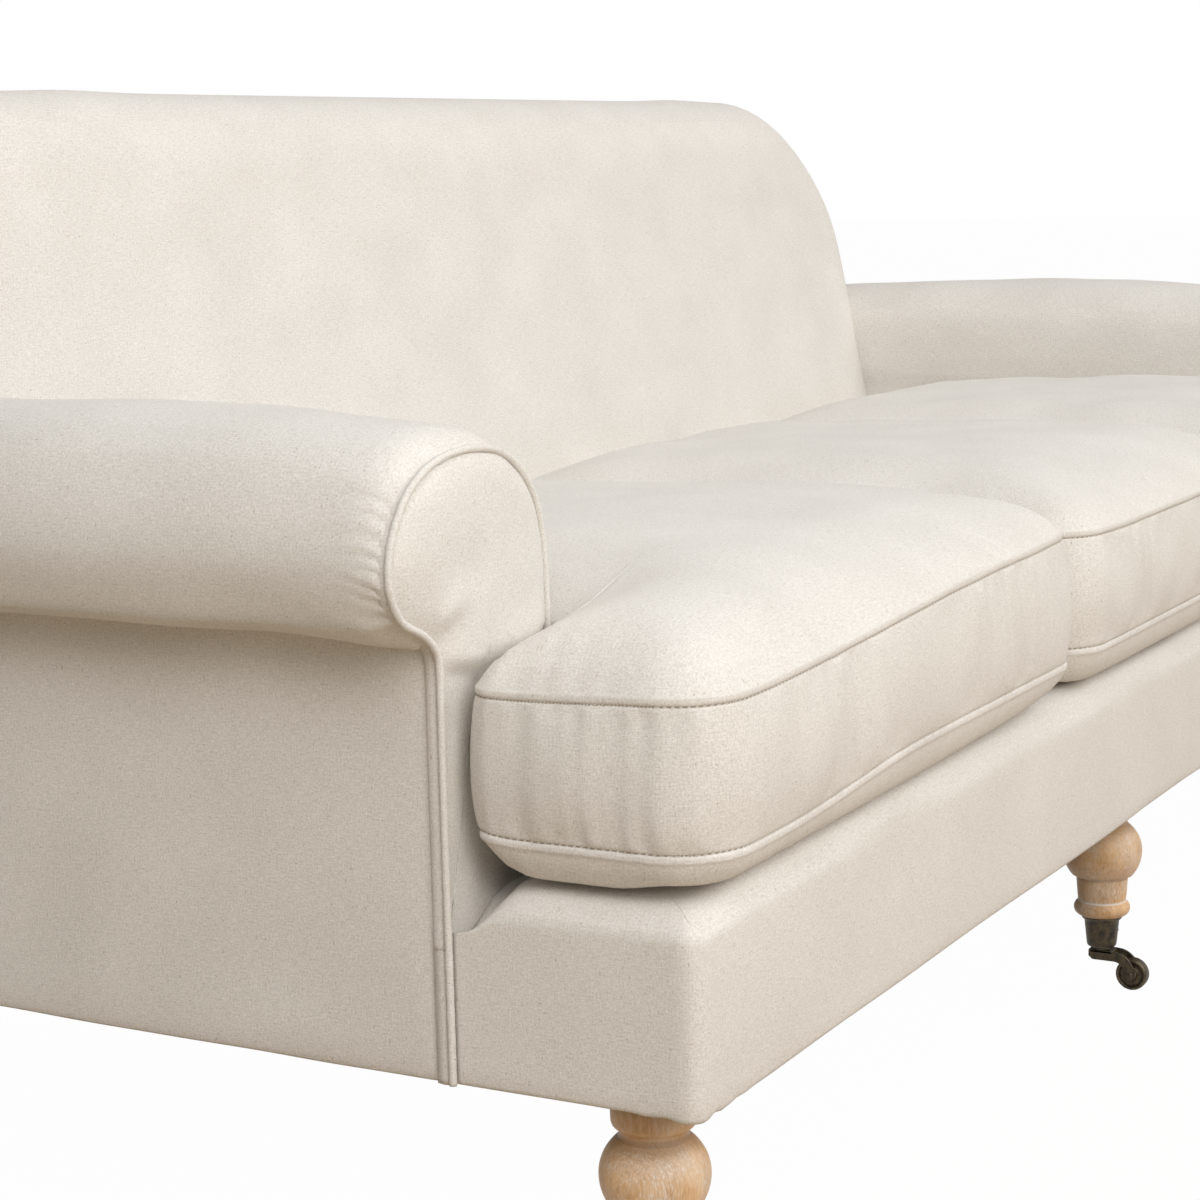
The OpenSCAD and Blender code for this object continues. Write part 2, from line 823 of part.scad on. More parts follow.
// A cushion's point at a share of the way to an outline point, leaning back with the sofa's back
function cushion_point(c, p, share, draw, z) =
    let (
        way = p - c,
        flat = c + way * share * (1 - draw / norm(way)),
        rear = max(0, (flat[1] - c[1]) / (cushion_y1 - c[1]))
    )
    [flat[0], flat[1] + rear * back_slope_share * (max(z, seam_low_z) - seam_low_z) * share, z];

function cushion_rings(c, outline) = concat(
    [for (s = panel_shares)
        [for (p = outline) cushion_point(c, p, s, seam_draw, seam_low_z - low_crown * dome(s))]],
    [for (b = band_shares)
        [for (p = outline)
            cushion_point(c, p, 1, seam_draw * (1 - sin(180 * b)), seam_low_z + band_h * b)]],
    [for (i = [len(panel_shares) - 1 : -1 : 0])
        let (s = panel_shares[i])
            [for (p = outline) cushion_point(c, p, s, seam_draw, seam_top_z + crown * dome(s))]]);

module cushion_body(c, outline) {
    rings = cushion_rings(c, outline);
    n = len(outline);
    m = len(rings);
    flat = [for (r = rings) for (p = r) p];
    points = concat(flat, [[c[0], c[1], seam_low_z - low_crown], [c[0], c[1], seam_top_z + crown]]);
    foot = m * n;
    faces = concat(
        [for (k = [0 : n - 1]) [foot, k, (k + 1) % n]],
        [for (j = [0 : m - 2]) for (k = [0 : n - 1]) [j * n + k, (j + 1) * n + k, j * n + (k + 1) % n]],
        [for (j = [0 : m - 2]) for (k = [0 : n - 1])
            [(j + 1) * n + k, (j + 1) * n + (k + 1) % n, j * n + (k + 1) % n]],
        [for (k = [0 : n - 1]) [foot + 1, (m - 1) * n + (k + 1) % n, (m - 1) * n + k]]);
    polyhedron(points, faces, convexity = 6);
}

// The foam core, grown by a clearance where the cover leaves room for it
core_inset = wrap_t + seam_draw;

module centre_core_shape(grow) {
    box(-centre_x1 + core_inset - grow, centre_x1 - core_inset + grow,
        cushion_y0 + core_inset - grow, cushion_y1 - core_inset + grow,
        seam_low_z - grow, seam_top_z + grow);
}

module end_core_shape(grow) {
    box(end_x_in + core_inset - grow, stem_x1 - core_inset + grow,
        cushion_y0 + core_inset - grow, cushion_y1 - core_inset + grow,
        seam_low_z - grow, seam_top_z + grow);
    box(stem_x1 - core_inset - grow, half_w - core_inset + grow,
        cushion_y0 + core_inset - grow, ear_y1 - core_inset + grow,
        seam_low_z - grow, seam_top_z + grow);
}

end_centre_share = 0.86;
mid_centre_share = 0.37;

module seat_cushion_centre() {
    color(linen) place()
        difference() {
            cushion_body([0, cushion_y1 * mid_centre_share], centre_outline());
            centre_core_shape(gap);
        }
}

module seat_cushion_end(side) {
    middle = [end_x_in + (stem_x1 - end_x_in) / 2, ear_y1 * end_centre_share];
    color(linen) place() on_side(side)
        difference() {
            cushion_body(middle, end_outline());
            end_core_shape(gap);
        }
}

module cushion_core_centre() {
    color(foam) place() centre_core_shape(0);
}

module cushion_core_end(side) {
    color(foam) place() on_side(side) end_core_shape(0);
}

// A turned front leg: collar, neck, bulb, tapered stem, ring and the spigot inside the caster cup
module front_leg(x) {
    ring_r = ring_h / 2;
    spigot_top_r = cup_top_d / 2 - cup_wall - gap;
    spigot_low_r = cup_low_d / 2 - cup_wall - gap;
    color(oak) place() translate([x, front_leg_y, 0])
        difference() {
            union() {
                translate([0, 0, frame_z - collar_h]) cylinder(d = collar_d, h = collar_h);
                translate([0, 0, bulb_z]) cylinder(d = neck_d, h = frame_z - collar_h - bulb_z);
                translate([0, 0, bulb_z]) sphere(bulb_r);
                translate([0, 0, ring_mid_z])
                    cylinder(d1 = stem_low_d, d2 = stem_top_d, h = stem_top_z - ring_mid_z);
                translate([0, 0, stem_top_z]) cylinder(d = stem_top_d, h = ring_h / 4);
                translate([0, 0, ring_mid_z])
                    rotate_extrude() translate([ring_d / 2 - ring_r, 0]) circle(ring_r);
                translate([0, 0, ring_low_z]) cylinder(d = ring_d - ring_h, h = ring_r);
                translate([0, 0, spigot_floor])
                    cylinder(r1 = spigot_low_r, r2 = spigot_top_r, h = ring_low_z - spigot_floor + over);
            }
            translate([0, 0, frame_z - bolt_grip - over])
                cylinder(d = bolt_d + 2 * run, h = bolt_grip + 2 * over);
            translate([0, 0, stem_top_z])
                rotate_extrude() translate([stem_top_d / 2 + groove / 2, 0]) circle(groove);
        }
}

// A rear leg: square, tapered and raked to the rear
module rear_leg(x) {
    top = rear_leg_top / 2;
    foot = rear_leg_foot / 2;
    color(oak) place() translate([x, rear_leg_y, 0])
        difference() {
            intersection() {
                along_x(-top, top)
                    polygon([[rear_rake - foot, 0], [rear_rake + foot, 0], [top, frame_z], [-top, frame_z]]);
                along_y(-rear_leg_top, rear_leg_top + rear_rake)
                    polygon([[-foot, 0], [foot, 0], [top, frame_z], [-top, frame_z]]);
            }
            translate([0, 0, frame_z - bolt_grip - over])
                cylinder(d = bolt_d + 2 * run, h = bolt_grip + 2 * over);
        }
}

module leg_bolts() {
    color(steel) place()
        for (x = [-leg_x, 0, leg_x])
            for (y = [front_leg_y, rear_leg_y])
                translate([x, y, frame_z - bolt_grip])
                    cylinder(d = bolt_d, h = 2 * bolt_grip);
}

module caster_cup(x) {
    color(bronze) place() translate([x, front_leg_y, 0])
        difference() {
            union() {
                translate([0, 0, cup_low_z]) cylinder(d1 = cup_low_d, d2 = cup_top_d, h = cup_h);
                translate([0, 0, ring_low_z - rim_h]) cylinder(d = cup_top_d + cup_wall, h = rim_h);
            }
            translate([0, 0, cup_low_z + cup_floor])
                cylinder(d1 = cup_low_d - 2 * cup_wall, d2 = cup_top_d - 2 * cup_wall,
                    h = cup_h - cup_floor + over);
            translate([0, 0, cup_low_z - over])
                cylinder(d = pin_d + 2 * run, h = cup_floor + 2 * over);
        }
}

// Side view of the fork, with the wheel ahead of the swivel axis
module cheek_view() {
    translate([bend_y, fork_low]) square([fork_tail - bend_y, fork_h]);
    intersection() {
        difference() {
            translate([bend_y, wheel_r]) circle(bend_r);
            translate([bend_y, wheel_r]) circle(bend_r - fork_h);
        }
        translate([bend_y - bend_r - over, wheel_r]) square([bend_r + over, bend_r + over]);
    }
    translate([-trail, wheel_r]) circle(hub_r);
}

module caster_fork(x) {
    color(bronze) place() translate([x, front_leg_y, 0])
        difference() {
            union() {
                along_x(fork_in, fork_out) cheek_view();
                along_x(-fork_out, -fork_in) cheek_view();
                box(-fork_out, fork_out, bend_y, fork_tail, fork_top - plate_t, fork_top);
                translate([0, 0, fork_top - plate_t]) cylinder(d = pin_head_d + plate_t, h = plate_t + thrust_h);
                translate([0, 0, fork_top]) cylinder(d = pin_d, h = thrust_h + cup_floor + 2 * head_gap + over);
                translate([0, 0, cup_low_z + cup_floor + head_gap]) cylinder(d = pin_head_d, h = pin_head_h);
            }
            translate([-fork_out - over, -trail, wheel_r])
                rotate([0, 90, 0]) cylinder(d = axle_d + 2 * run, h = 2 * (fork_out + over));
        }
}

module caster_axle(x) {
    color(bronze) place() translate([x, front_leg_y - trail, wheel_r])
        rotate([0, 90, 0]) {
            translate([0, 0, -fork_out]) cylinder(d = axle_d, h = 2 * fork_out);
            translate([0, 0, fork_out]) cylinder(d = axle_head_d, h = head_t);
            translate([0, 0, -fork_out - head_t]) cylinder(d = axle_head_d, h = head_t);
        }
}

module caster_wheel(x) {
    color(bronze) place() translate([x, front_leg_y - trail, wheel_r])
        rotate([0, 90, 0])
            difference() {
                union() {
                    difference() {
                        translate([0, 0, -wheel_w / 2]) cylinder(d = wheel_d, h = wheel_w);
                        translate([0, 0, -wheel_w / 2 - over])
                            cylinder(d = wheel_d - 2 * rim_w, h = wheel_w + 2 * over);
                    }
                    translate([0, 0, -web_w / 2]) cylinder(d = wheel_d - rim_w, h = web_w);
                    translate([0, 0, -hub_w / 2]) cylinder(d = hub_d, h = hub_w);
                }
                translate([0, 0, -wheel_w / 2 - over])
                    cylinder(d = axle_d + 2 * run, h = wheel_w + 2 * over);
            }
}

front_rail();
back_rail();
end_rail(-1);  // end_rail_left
end_rail(1);  // end_rail_right
seat_stretchers();
leg_blocks();
back_post(-post_x1, rear_y1);  // back_post_left
back_post(-post_w / 2, rear_y1 - low_rail_t);  // back_post_centre
back_post(post_x0, rear_y1);  // back_post_right
back_top_rail();
back_lower_rail();
arm_stump(-1);  // arm_stump_left
arm_stump(1);  // arm_stump_right
arm_top_rail(-1);  // arm_top_rail_left
arm_top_rail(1);  // arm_top_rail_right
arm_stay_rails();
seat_springs();
back_webbing();
seat_deck();
dust_cover();
front_border();
border_return(-1);  // border_return_left
border_return(1);  // border_return_right
arm_facing(-1);  // arm_facing_left
arm_facing(1);  // arm_facing_right
arm_piping(-1);  // arm_piping_left
arm_piping(1);  // arm_piping_right
arm_roll(-1);  // arm_roll_left
arm_roll(1);  // arm_roll_right
inside_arm(-1);  // inside_arm_left
inside_arm(1);  // inside_arm_right
outside_arm(-1);  // outside_arm_left
outside_arm(1);  // outside_arm_right
back_pad();
outside_back();
seat_cushion_end(-1);  // seat_cushion_left
seat_cushion_centre();
seat_cushion_end(1);  // seat_cushion_right
cushion_core_end(-1);  // cushion_core_left
cushion_core_centre();
cushion_core_end(1);  // cushion_core_right
front_leg(-leg_x);  // front_leg_left
front_leg(0);  // front_leg_centre
front_leg(leg_x);  // front_leg_right
rear_leg(-leg_x);  // rear_leg_left
rear_leg(0);  // rear_leg_centre
rear_leg(leg_x);  // rear_leg_right
leg_bolts();
caster_cup(-leg_x);  // caster_cup_left
caster_cup(0);  // caster_cup_centre
caster_cup(leg_x);  // caster_cup_right
caster_fork(-leg_x);  // caster_fork_left
caster_fork(0);  // caster_fork_centre
caster_fork(leg_x);  // caster_fork_right
caster_axle(-leg_x);  // caster_axle_left
caster_axle(0);  // caster_axle_centre
caster_axle(leg_x);  // caster_axle_right
caster_wheel(-leg_x);  // caster_wheel_left
caster_wheel(0);  // caster_wheel_centre
caster_wheel(leg_x);  // caster_wheel_right
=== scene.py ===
"""Looks of a three-seat roll-arm sofa: linen covers, limed oak legs and aged brass casters.

Lengths are in metres, in the frame of the CAD model. Depths "from the front" count back from the
base's front, and MID_Y is taken off them where points are made.
"""

import math

import bmesh
import bpy
import numpy as np
from mathutils import Matrix, Vector
from mathutils.kdtree import KDTree


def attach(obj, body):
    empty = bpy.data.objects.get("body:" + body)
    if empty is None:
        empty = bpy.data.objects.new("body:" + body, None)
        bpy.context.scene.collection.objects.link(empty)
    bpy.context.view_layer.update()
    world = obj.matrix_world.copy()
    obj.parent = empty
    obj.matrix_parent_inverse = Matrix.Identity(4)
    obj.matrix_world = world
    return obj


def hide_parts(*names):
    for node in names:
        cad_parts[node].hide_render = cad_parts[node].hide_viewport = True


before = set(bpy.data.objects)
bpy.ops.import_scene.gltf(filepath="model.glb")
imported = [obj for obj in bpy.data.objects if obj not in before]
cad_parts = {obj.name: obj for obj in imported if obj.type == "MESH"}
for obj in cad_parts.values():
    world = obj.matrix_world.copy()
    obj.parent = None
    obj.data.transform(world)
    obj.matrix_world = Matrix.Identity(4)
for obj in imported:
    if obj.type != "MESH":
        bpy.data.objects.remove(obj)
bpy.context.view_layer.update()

# Main sizes, as in the CAD model
MID_Y = 0.4565
HALF_W = 1.030
BASE_Z = 0.2075
BASE_TOP = 0.3575
DECK_LOW = 0.3034
ARM_T = 0.145
ARM_IN = HALF_W - ARM_T
FACING_Y = 0.191
FACING_BACK = 0.203
CORD_R = 0.00275
REAR_Y = 0.9216
SEAM_LOW = 0.397
SEAM_TOP = 0.499
LEG_X = 0.9655
FRONT_LEG_Y = 0.0687
REAR_LEG_Y = 0.8613
SLOPE = 0.216

rng = np.random.default_rng(20)


def face_y(z):
    """Depth of the back's leaning face at a height, from the front."""
    return 0.670 + SLOPE * (z - BASE_TOP)


def ease(t):
    """Smooth step from 0 to 1."""
    t = np.clip(t, 0.0, 1.0)
    return t * t * (3 - 2 * t)


def ripple(points, size, seed, waves=7):
    """Soft uneven waves of about one unit, whose length is near size."""
    points = np.asarray(points, float)
    own = np.random.default_rng(seed)
    total = np.zeros(len(points))
    for _ in range(waves):
        way = own.normal(size=points.shape[1])
        way *= 2 * math.pi / size * own.uniform(0.6, 1.4) / np.linalg.norm(way)
        total += np.sin(points @ way + own.uniform(0, 2 * math.pi))
    return total / math.sqrt(waves / 2)


# Node helpers


class Shader:
    """A material's node tree, with short calls for the nodes used here."""

    def __init__(self, name):
        self.material = bpy.data.materials.new(name)
        self.material.use_nodes = True
        self.tree = self.material.node_tree
        self.surface = self.tree.nodes["Principled BSDF"]

    def node(self, kind, **settings):
        made = self.tree.nodes.new(kind)
        for name, value in settings.items():
            setattr(made, name, value)
        return made

    def link(self, source, target):
        self.tree.links.new(source, target)

    def put(self, socket, value):
        """A number, colour or another node's output goes to the socket."""
        if isinstance(value, bpy.types.NodeSocket):
            self.link(value, socket)
        else:
            socket.default_value = value

    def coords(self, uv=None):
        if uv:
            return self.node("ShaderNodeUVMap", uv_map=uv).outputs["UV"]
        return self.node("ShaderNodeTexCoord").outputs["Object"]

    def scaled(self, vector, scale):
        mapping = self.node("ShaderNodeMapping")
        self.link(vector, mapping.inputs["Vector"])
        mapping.inputs["Scale"].default_value = scale
        return mapping.outputs["Vector"]

    def noise(self, vector, scale, detail=2.0, roughness=0.5):
        made = self.node("ShaderNodeTexNoise")
        self.link(vector, made.inputs["Vector"])
        made.inputs["Scale"].default_value = scale
        made.inputs["Detail"].default_value = detail
        made.inputs["Roughness"].default_value = roughness
        return made.outputs["Fac"]

    def math(self, how, a, b=0.0, c=0.0):
        made = self.node("ShaderNodeMath", operation=how)
        for socket, value in zip(made.inputs, (a, b, c)):
            self.put(socket, value)
        return made.outputs["Value"]

    def ranged(self, value, low, high, to_low=0.0, to_high=1.0):
        made = self.node("ShaderNodeMapRange")
        self.link(value, made.inputs["Value"])
        limits = {"From Min": low, "From Max": high, "To Min": to_low, "To Max": to_high}
        for name, number in limits.items():
            made.inputs[name].default_value = number
        return made.outputs["Result"]

    def mixed(self, factor, a, b, how="MIX"):
        made = self.node("ShaderNodeMix", data_type="RGBA", blend_type=how)
        self.put(made.inputs["Factor"], factor)
        self.put(made.inputs[6], a)
        self.put(made.inputs[7], b)
        return made.outputs[2]

    def attribute(self, name):
        return self.node("ShaderNodeAttribute", attribute_name=name).outputs["Fac"]

    def bump(self, height, distance, strength=1.0, under=None):
        made = self.node("ShaderNodeBump")
        self.link(height, made.inputs["Height"])
        made.inputs["Distance"].default_value = distance
        made.inputs["Strength"].default_value = strength
        if under is not None:
            self.link(under, made.inputs["Normal"])
        return made.outputs["Normal"]

    def finish(self, color, roughness, normal=None, **constants):
        self.put(self.surface.inputs["Base Color"], color)
        self.put(self.surface.inputs["Roughness"], roughness)
        if normal is not None:
            self.link(normal, self.surface.inputs["Normal"])
        for name, value in constants.items():
            self.surface.inputs[name.replace("_", " ")].default_value = value
        return self.material


def rgb(r, g, b):
    return (r, g, b, 1.0)


def make_linen():
    """Plain-weave linen and cotton: fine uneven yarns, short slubs and sparse dark specks, with painted shade
    in the stitch rows between the stitches.
    """
    s = Shader("linen")
    uv = s.coords("grain")
    fine = s.noise(uv, 620.0, 3.0, 0.8)
    warp = s.noise(s.scaled(uv, (1050, 130, 1)), 1.0, 1.0)
    weft = s.noise(s.scaled(uv, (115, 1050, 1)), 1.0, 1.0)
    yarn = s.math("ADD", s.math("MULTIPLY", warp, 0.5), s.math("MULTIPLY", weft, 0.5))
    grain = s.math("ADD", s.math("MULTIPLY", fine, 0.65), s.math("MULTIPLY", yarn, 0.35))
    cloud = s.noise(uv, 11.0, 3.0)
    tone = s.math("ADD", s.ranged(grain, 0.36, 0.64), s.ranged(cloud, 0.3, 0.7, -0.08, 0.08))
    base = s.mixed(tone, rgb(0.605, 0.568, 0.512), rgb(0.895, 0.858, 0.808))
    specks_a = s.noise(s.scaled(uv, (620, 210, 1)), 1.0, 0.0)
    specks_b = s.noise(s.scaled(uv, (210, 620, 1)), 1.0, 0.0)
    specks = s.math("MAXIMUM", s.ranged(specks_a, 0.77, 0.84), s.ranged(specks_b, 0.79, 0.86))
    base = s.mixed(s.math("MULTIPLY", specks, 0.42), base, rgb(0.36, 0.27, 0.18))
    # Painted shade: dark dashes between the stitches along each stitch row stand for the shade in the stitch
    # groove.
    along = s.math("SINE", s.math("MULTIPLY", s.attribute("along"), 2 * math.pi / STITCH_PITCH))
    between = s.ranged(along, -0.75, -0.35, 0.25, 1.0)
    stitch_shade = s.math("MULTIPLY", s.ranged(s.attribute("stitch"), 0.4, 0.75), between)
    base = s.mixed(s.math("MULTIPLY", stitch_shade, 0.68), base, rgb(0.22, 0.17, 0.11))
    threads = s.node("ShaderNodeSeparateXYZ")
    s.link(uv, threads.inputs["Vector"])
    pitch = 2 * math.pi / YARN_PITCH
    over = s.math("SINE", s.math("MULTIPLY", threads.outputs["X"], pitch))
    under = s.math("SINE", s.math("MULTIPLY", threads.outputs["Y"], pitch))
    weave = s.math("MULTIPLY", over, under)
    normal = s.bump(weave, 0.00012, 0.5)
    normal = s.bump(grain, 0.0009, 0.5, normal)
    normal = s.bump(s.math("SUBTRACT", 1.0, stitch_shade), 0.0006, 0.8, normal)
    return s.finish(base, 0.95, normal, Sheen_Weight=0.15, Sheen_Roughness=0.5,
                    Specular_IOR_Level=0.15)


def make_oak():
    """Turned oak under a limed finish: tan wood, pale pores along the grain, lime left in the grooves, and
    painted shade darkening the cove under the collar.
    """
    s = Shader("limed_oak")
    at = s.coords()
    rings = s.noise(s.scaled(at, (60, 14, 22)), 1.0, 4.0, 0.6)
    fibre = s.noise(s.scaled(at, (900, 240, 90)), 1.0, 2.0)
    wood = s.mixed(s.ranged(rings, 0.3, 0.7), rgb(0.450, 0.240, 0.090), rgb(0.730, 0.450, 0.215))
    wood = s.mixed(s.ranged(fibre, 0.35, 0.7, 0.0, 0.55), wood, rgb(0.830, 0.570, 0.345))
    pores = s.noise(s.scaled(at, (1300, 700, 210)), 1.0, 2.0)
    lime = s.noise(at, 30.0, 3.0)
    pored = s.math("MULTIPLY", s.ranged(pores, 0.51, 0.66), s.ranged(lime, 0.36, 0.62, 0.10, 0.62))
    grooves = s.math("MULTIPLY", s.attribute("lime"), s.ranged(lime, 0.3, 0.6, 0.55, 0.95))
    filled = s.math("MAXIMUM", pored, grooves)
    hazed = s.mixed(s.ranged(lime, 0.42, 0.68, 0.0, 0.34), wood, rgb(0.72, 0.66, 0.58))
    color = s.mixed(filled, hazed, rgb(0.80, 0.75, 0.68))
    # Painted shade: where the lime value is below 0, in the cove under the collar and on the bulb's top by
    # it, the colour darkens to deep brown.
    cove_shade = s.ranged(s.attribute("lime"), 0.0, -1.0, 0.0, 0.6)
    color = s.mixed(cove_shade, color, rgb(0.19, 0.100, 0.038))
    normal = s.bump(s.math("SUBTRACT", fibre, s.math("MULTIPLY", pored, 0.5)), 0.0005, 0.4)
    return s.finish(color, s.ranged(fibre, 0.3, 0.7, 0.42, 0.60), normal)


def make_brass():
    """Dark antique brass: brown-black patina, lighter along the edges."""
    s = Shader("aged_brass")
    at = s.coords()
    patch = s.noise(at, 160.0, 4.0, 0.6)
    fine = s.noise(at, 900.0, 2.0)
    edge = s.node("ShaderNodeNewGeometry").outputs["Pointiness"]
    # Lighter colour where the pointiness is high, along the convex edges.
    bright_edge = s.math("MULTIPLY", s.ranged(edge, 0.535, 0.66), s.ranged(patch, 0.3, 0.6, 0.4, 1.0))
    dull = s.mixed(s.ranged(patch, 0.35, 0.68), rgb(0.026, 0.021, 0.016), rgb(0.105, 0.076, 0.042))
    color = s.mixed(s.math("MULTIPLY", bright_edge, 0.85), dull, rgb(0.46, 0.40, 0.29))
    normal = s.bump(s.math("ADD", patch, s.math("MULTIPLY", fine, 0.4)), 0.0004, 0.5)
    return s.finish(color, s.ranged(patch, 0.3, 0.7, 0.36, 0.58), normal, Metallic=0.55,
                    Specular_IOR_Level=0.35)


def make_timber():
    """Sawn pale frame timber."""
    s = Shader("frame_timber")
    at = s.coords()
    grain = s.noise(s.scaled(at, (14, 60, 60)), 1.0, 4.0)
    color = s.mixed(s.ranged(grain, 0.3, 0.7), rgb(0.52, 0.36, 0.20), rgb(0.70, 0.53, 0.33))
    return s.finish(color, 0.7, s.bump(grain, 0.0008, 0.4))


def make_simple(name, low, high, scale, roughness, distance, **constants):
    """A two-tone surface with fine noise in its colour and bump."""
    s = Shader(name)
    noise = s.noise(s.coords(), scale, 3.0)
    color = s.mixed(s.ranged(noise, 0.3, 0.7), rgb(*low), rgb(*high))
    return s.finish(color, roughness, s.bump(noise, distance, 0.5), **constants)


def make_webbing():
    """Jute webbing: coarse yarns both ways."""
    s = Shader("webbing")
    at = s.coords()
    one = s.node("ShaderNodeTexWave", bands_direction="X")
    two = s.node("ShaderNodeTexWave", bands_direction="Z")
    for wave in (one, two):
        s.link(at, wave.inputs["Vector"])
        wave.inputs["Scale"].default_value = 110.0
        wave.inputs["Distortion"].default_value = 0.6
    weave = s.math("MULTIPLY", one.outputs["Fac"], two.outputs["Fac"])
    color = s.mixed(weave, rgb(0.30, 0.20, 0.11), rgb(0.55, 0.42, 0.26))
    return s.finish(color, 0.95, s.bump(weave, 0.001, 0.6))


STITCH_PITCH = 0.0055
YARN_PITCH = 0.0008
LINEN = make_linen()
THREAD = make_simple("thread", (0.66, 0.60, 0.50), (0.76, 0.71, 0.62), 1500.0, 0.8, 0.0002)
OAK = make_oak()
BRASS = make_brass()
TIMBER = make_timber()
WEBBING = make_webbing()
STEEL = make_simple("steel", (0.36, 0.37, 0.38), (0.52, 0.53, 0.55), 300.0, 0.4, 0.0003, Metallic=0.9)
CAMBRIC = make_simple("cambric", (0.012, 0.012, 0.014), (0.035, 0.035, 0.038), 900.0, 0.95, 0.0004)
FOAM = make_simple("foam", (0.74, 0.68, 0.42), (0.84, 0.79, 0.56), 700.0, 0.95, 0.0008)
# Painted shade: near-black colour for the small pieces that stand for the screw holes' shade.
HOLE_SHADE = make_simple("screw_hole_shade", (0.006, 0.005, 0.004), (0.015, 0.012, 0.010), 900.0, 0.7, 0.0002)


# Mesh helpers


def add_mesh(name, points, faces, material, smooth=True):
    """A new object from points in the model's frame and faces of point numbers."""
    data = bpy.data.meshes.new(name)
    data.from_pydata(np.asarray(points, float).tolist(), [], [list(map(int, f)) for f in faces])
    data.validate()
    data.update()
    data.polygons.foreach_set("use_smooth", [smooth] * len(data.polygons))
    data.materials.append(material)
    made = bpy.data.objects.new(name, data)
    bpy.context.scene.collection.objects.link(made)
    return made


def read_points(obj):
    co = np.empty(len(obj.data.vertices) * 3)
    obj.data.vertices.foreach_get("co", co)
    return co.reshape(-1, 3)


def write_points(obj, points):
    obj.data.vertices.foreach_set("co", np.asarray(points, float).ravel())
    obj.data.update()


def read_normals(obj):
    n = np.empty(len(obj.data.vertices) * 3)
    obj.data.vertices.foreach_get("normal", n)
    return n.reshape(-1, 3)


def add_grain(obj):
    """A UV map in metres from the side that each face looks to, so that the weave lies along the piece."""
    mesh = obj.data
    layer = mesh.uv_layers.new(name="grain")
    vertex = np.empty(len(mesh.loops), int)
    mesh.loops.foreach_get("vertex_index", vertex)
    count = np.empty(len(mesh.polygons), int)
    mesh.polygons.foreach_get("loop_total", count)
    normal = np.empty(len(mesh.polygons) * 3)
    mesh.polygons.foreach_get("normal", normal)
    axis = np.repeat(np.abs(normal.reshape(-1, 3)).argmax(1), count)
    at = read_points(obj)[vertex]
    u = np.where(axis == 0, at[:, 1], at[:, 0])
    v = np.where(axis == 2, at[:, 1], at[:, 2])
    layer.data.foreach_set("uv", np.stack([u, v], 1).ravel())


def grid_faces(rows, cols, closed_rows=False, closed_cols=False, start=0):
    """Quads between rows of points, each row of the same length."""
    faces = []
    for r in range(rows if closed_rows else rows - 1):
        for c in range(cols if closed_cols else cols - 1):
            a = start + r * cols + c
            b = start + r * cols + (c + 1) % cols
            d = start + ((r + 1) % rows) * cols + c
            e = start + ((r + 1) % rows) * cols + (c + 1) % cols
            faces.append((a, b, e, d))
    return faces


def tube_faces(rows, cols, start=0):
    """Rings of points joined into a tube, with a face over each end."""
    last = start + (rows - 1) * cols
    ends = [tuple(range(start, start + cols))[::-1], tuple(range(last, last + cols))]
    return grid_faces(rows, cols, closed_cols=True, start=start) + ends


def slab(upper, lower, rows, cols):
    """Points and faces of a closed slab between two grids of points."""
    far = rows * cols
    faces = grid_faces(rows, cols) + [face[::-1] for face in grid_faces(rows, cols, start=far)]
    rim = list(range(cols)) + [k * cols + cols - 1 for k in range(1, rows)]
    rim += [far - cols + k for k in range(cols - 2, -1, -1)] + [k * cols for k in range(rows - 2, 0, -1)]
    faces += [(a, b, b + far, a + far) for a, b in zip(rim, rim[1:] + rim[:1])]
    return np.vstack([upper, lower]), faces


def turned_points(profile, x, y, turns):
    """Rings of points about an upright axis, from (radius, height) pairs."""
    return [(x + r * math.cos(2 * math.pi * k / turns), y + r * math.sin(2 * math.pi * k / turns), z)
            for r, z in profile for k in range(turns)]


def face_out(obj):
    """Turns all of a closed mesh's faces outward."""
    bm = bmesh.new()
    bm.from_mesh(obj.data)
    bmesh.ops.recalc_face_normals(bm, faces=bm.faces)
    bm.to_mesh(obj.data)
    bm.free()
    obj.data.update()


def mirrored(points):
    return np.asarray(points) * np.array([-1.0, 1.0, 1.0])


def lengths_along(points):
    """The way covered at each point of a path."""
    return np.concatenate([[0], np.cumsum(np.linalg.norm(np.diff(points, axis=0), axis=1))])


def spread(points, count):
    """The same path as that many even steps."""
    lengths = lengths_along(points)
    at = np.linspace(0, lengths[-1], count + 1)
    return np.stack([np.interp(at, lengths, points[:, k]) for k in range(points.shape[1])], 1)


def spaced(points, step, closed=False):
    """The same path as even steps of about that length."""
    points = np.asarray(points, float)
    if closed:
        points = np.vstack([points, points[:1]])
    count = max(2, int(round(lengths_along(points)[-1] / step)))
    path = spread(points, count)
    return path[:-1] if closed else path


def smoothed(points, rounds, closed=False):
    """The path with its small steps evened out."""
    points = np.array(points, float)
    for _ in range(rounds):
        ahead, behind = np.roll(points, -1, 0), np.roll(points, 1, 0)
        moved = (ahead + behind + 2 * points) / 4
        if not closed:
            moved[0], moved[-1] = points[0], points[-1]
        points = moved
    return points


def outline_normals(outline):
    """Unit vectors that point inward from a closed outline walked anticlockwise."""
    way = np.roll(outline, -1, 0) - np.roll(outline, 1, 0)
    way /= np.linalg.norm(way, axis=1)[:, None]
    return np.stack([-way[:, 1], way[:, 0]], 1)


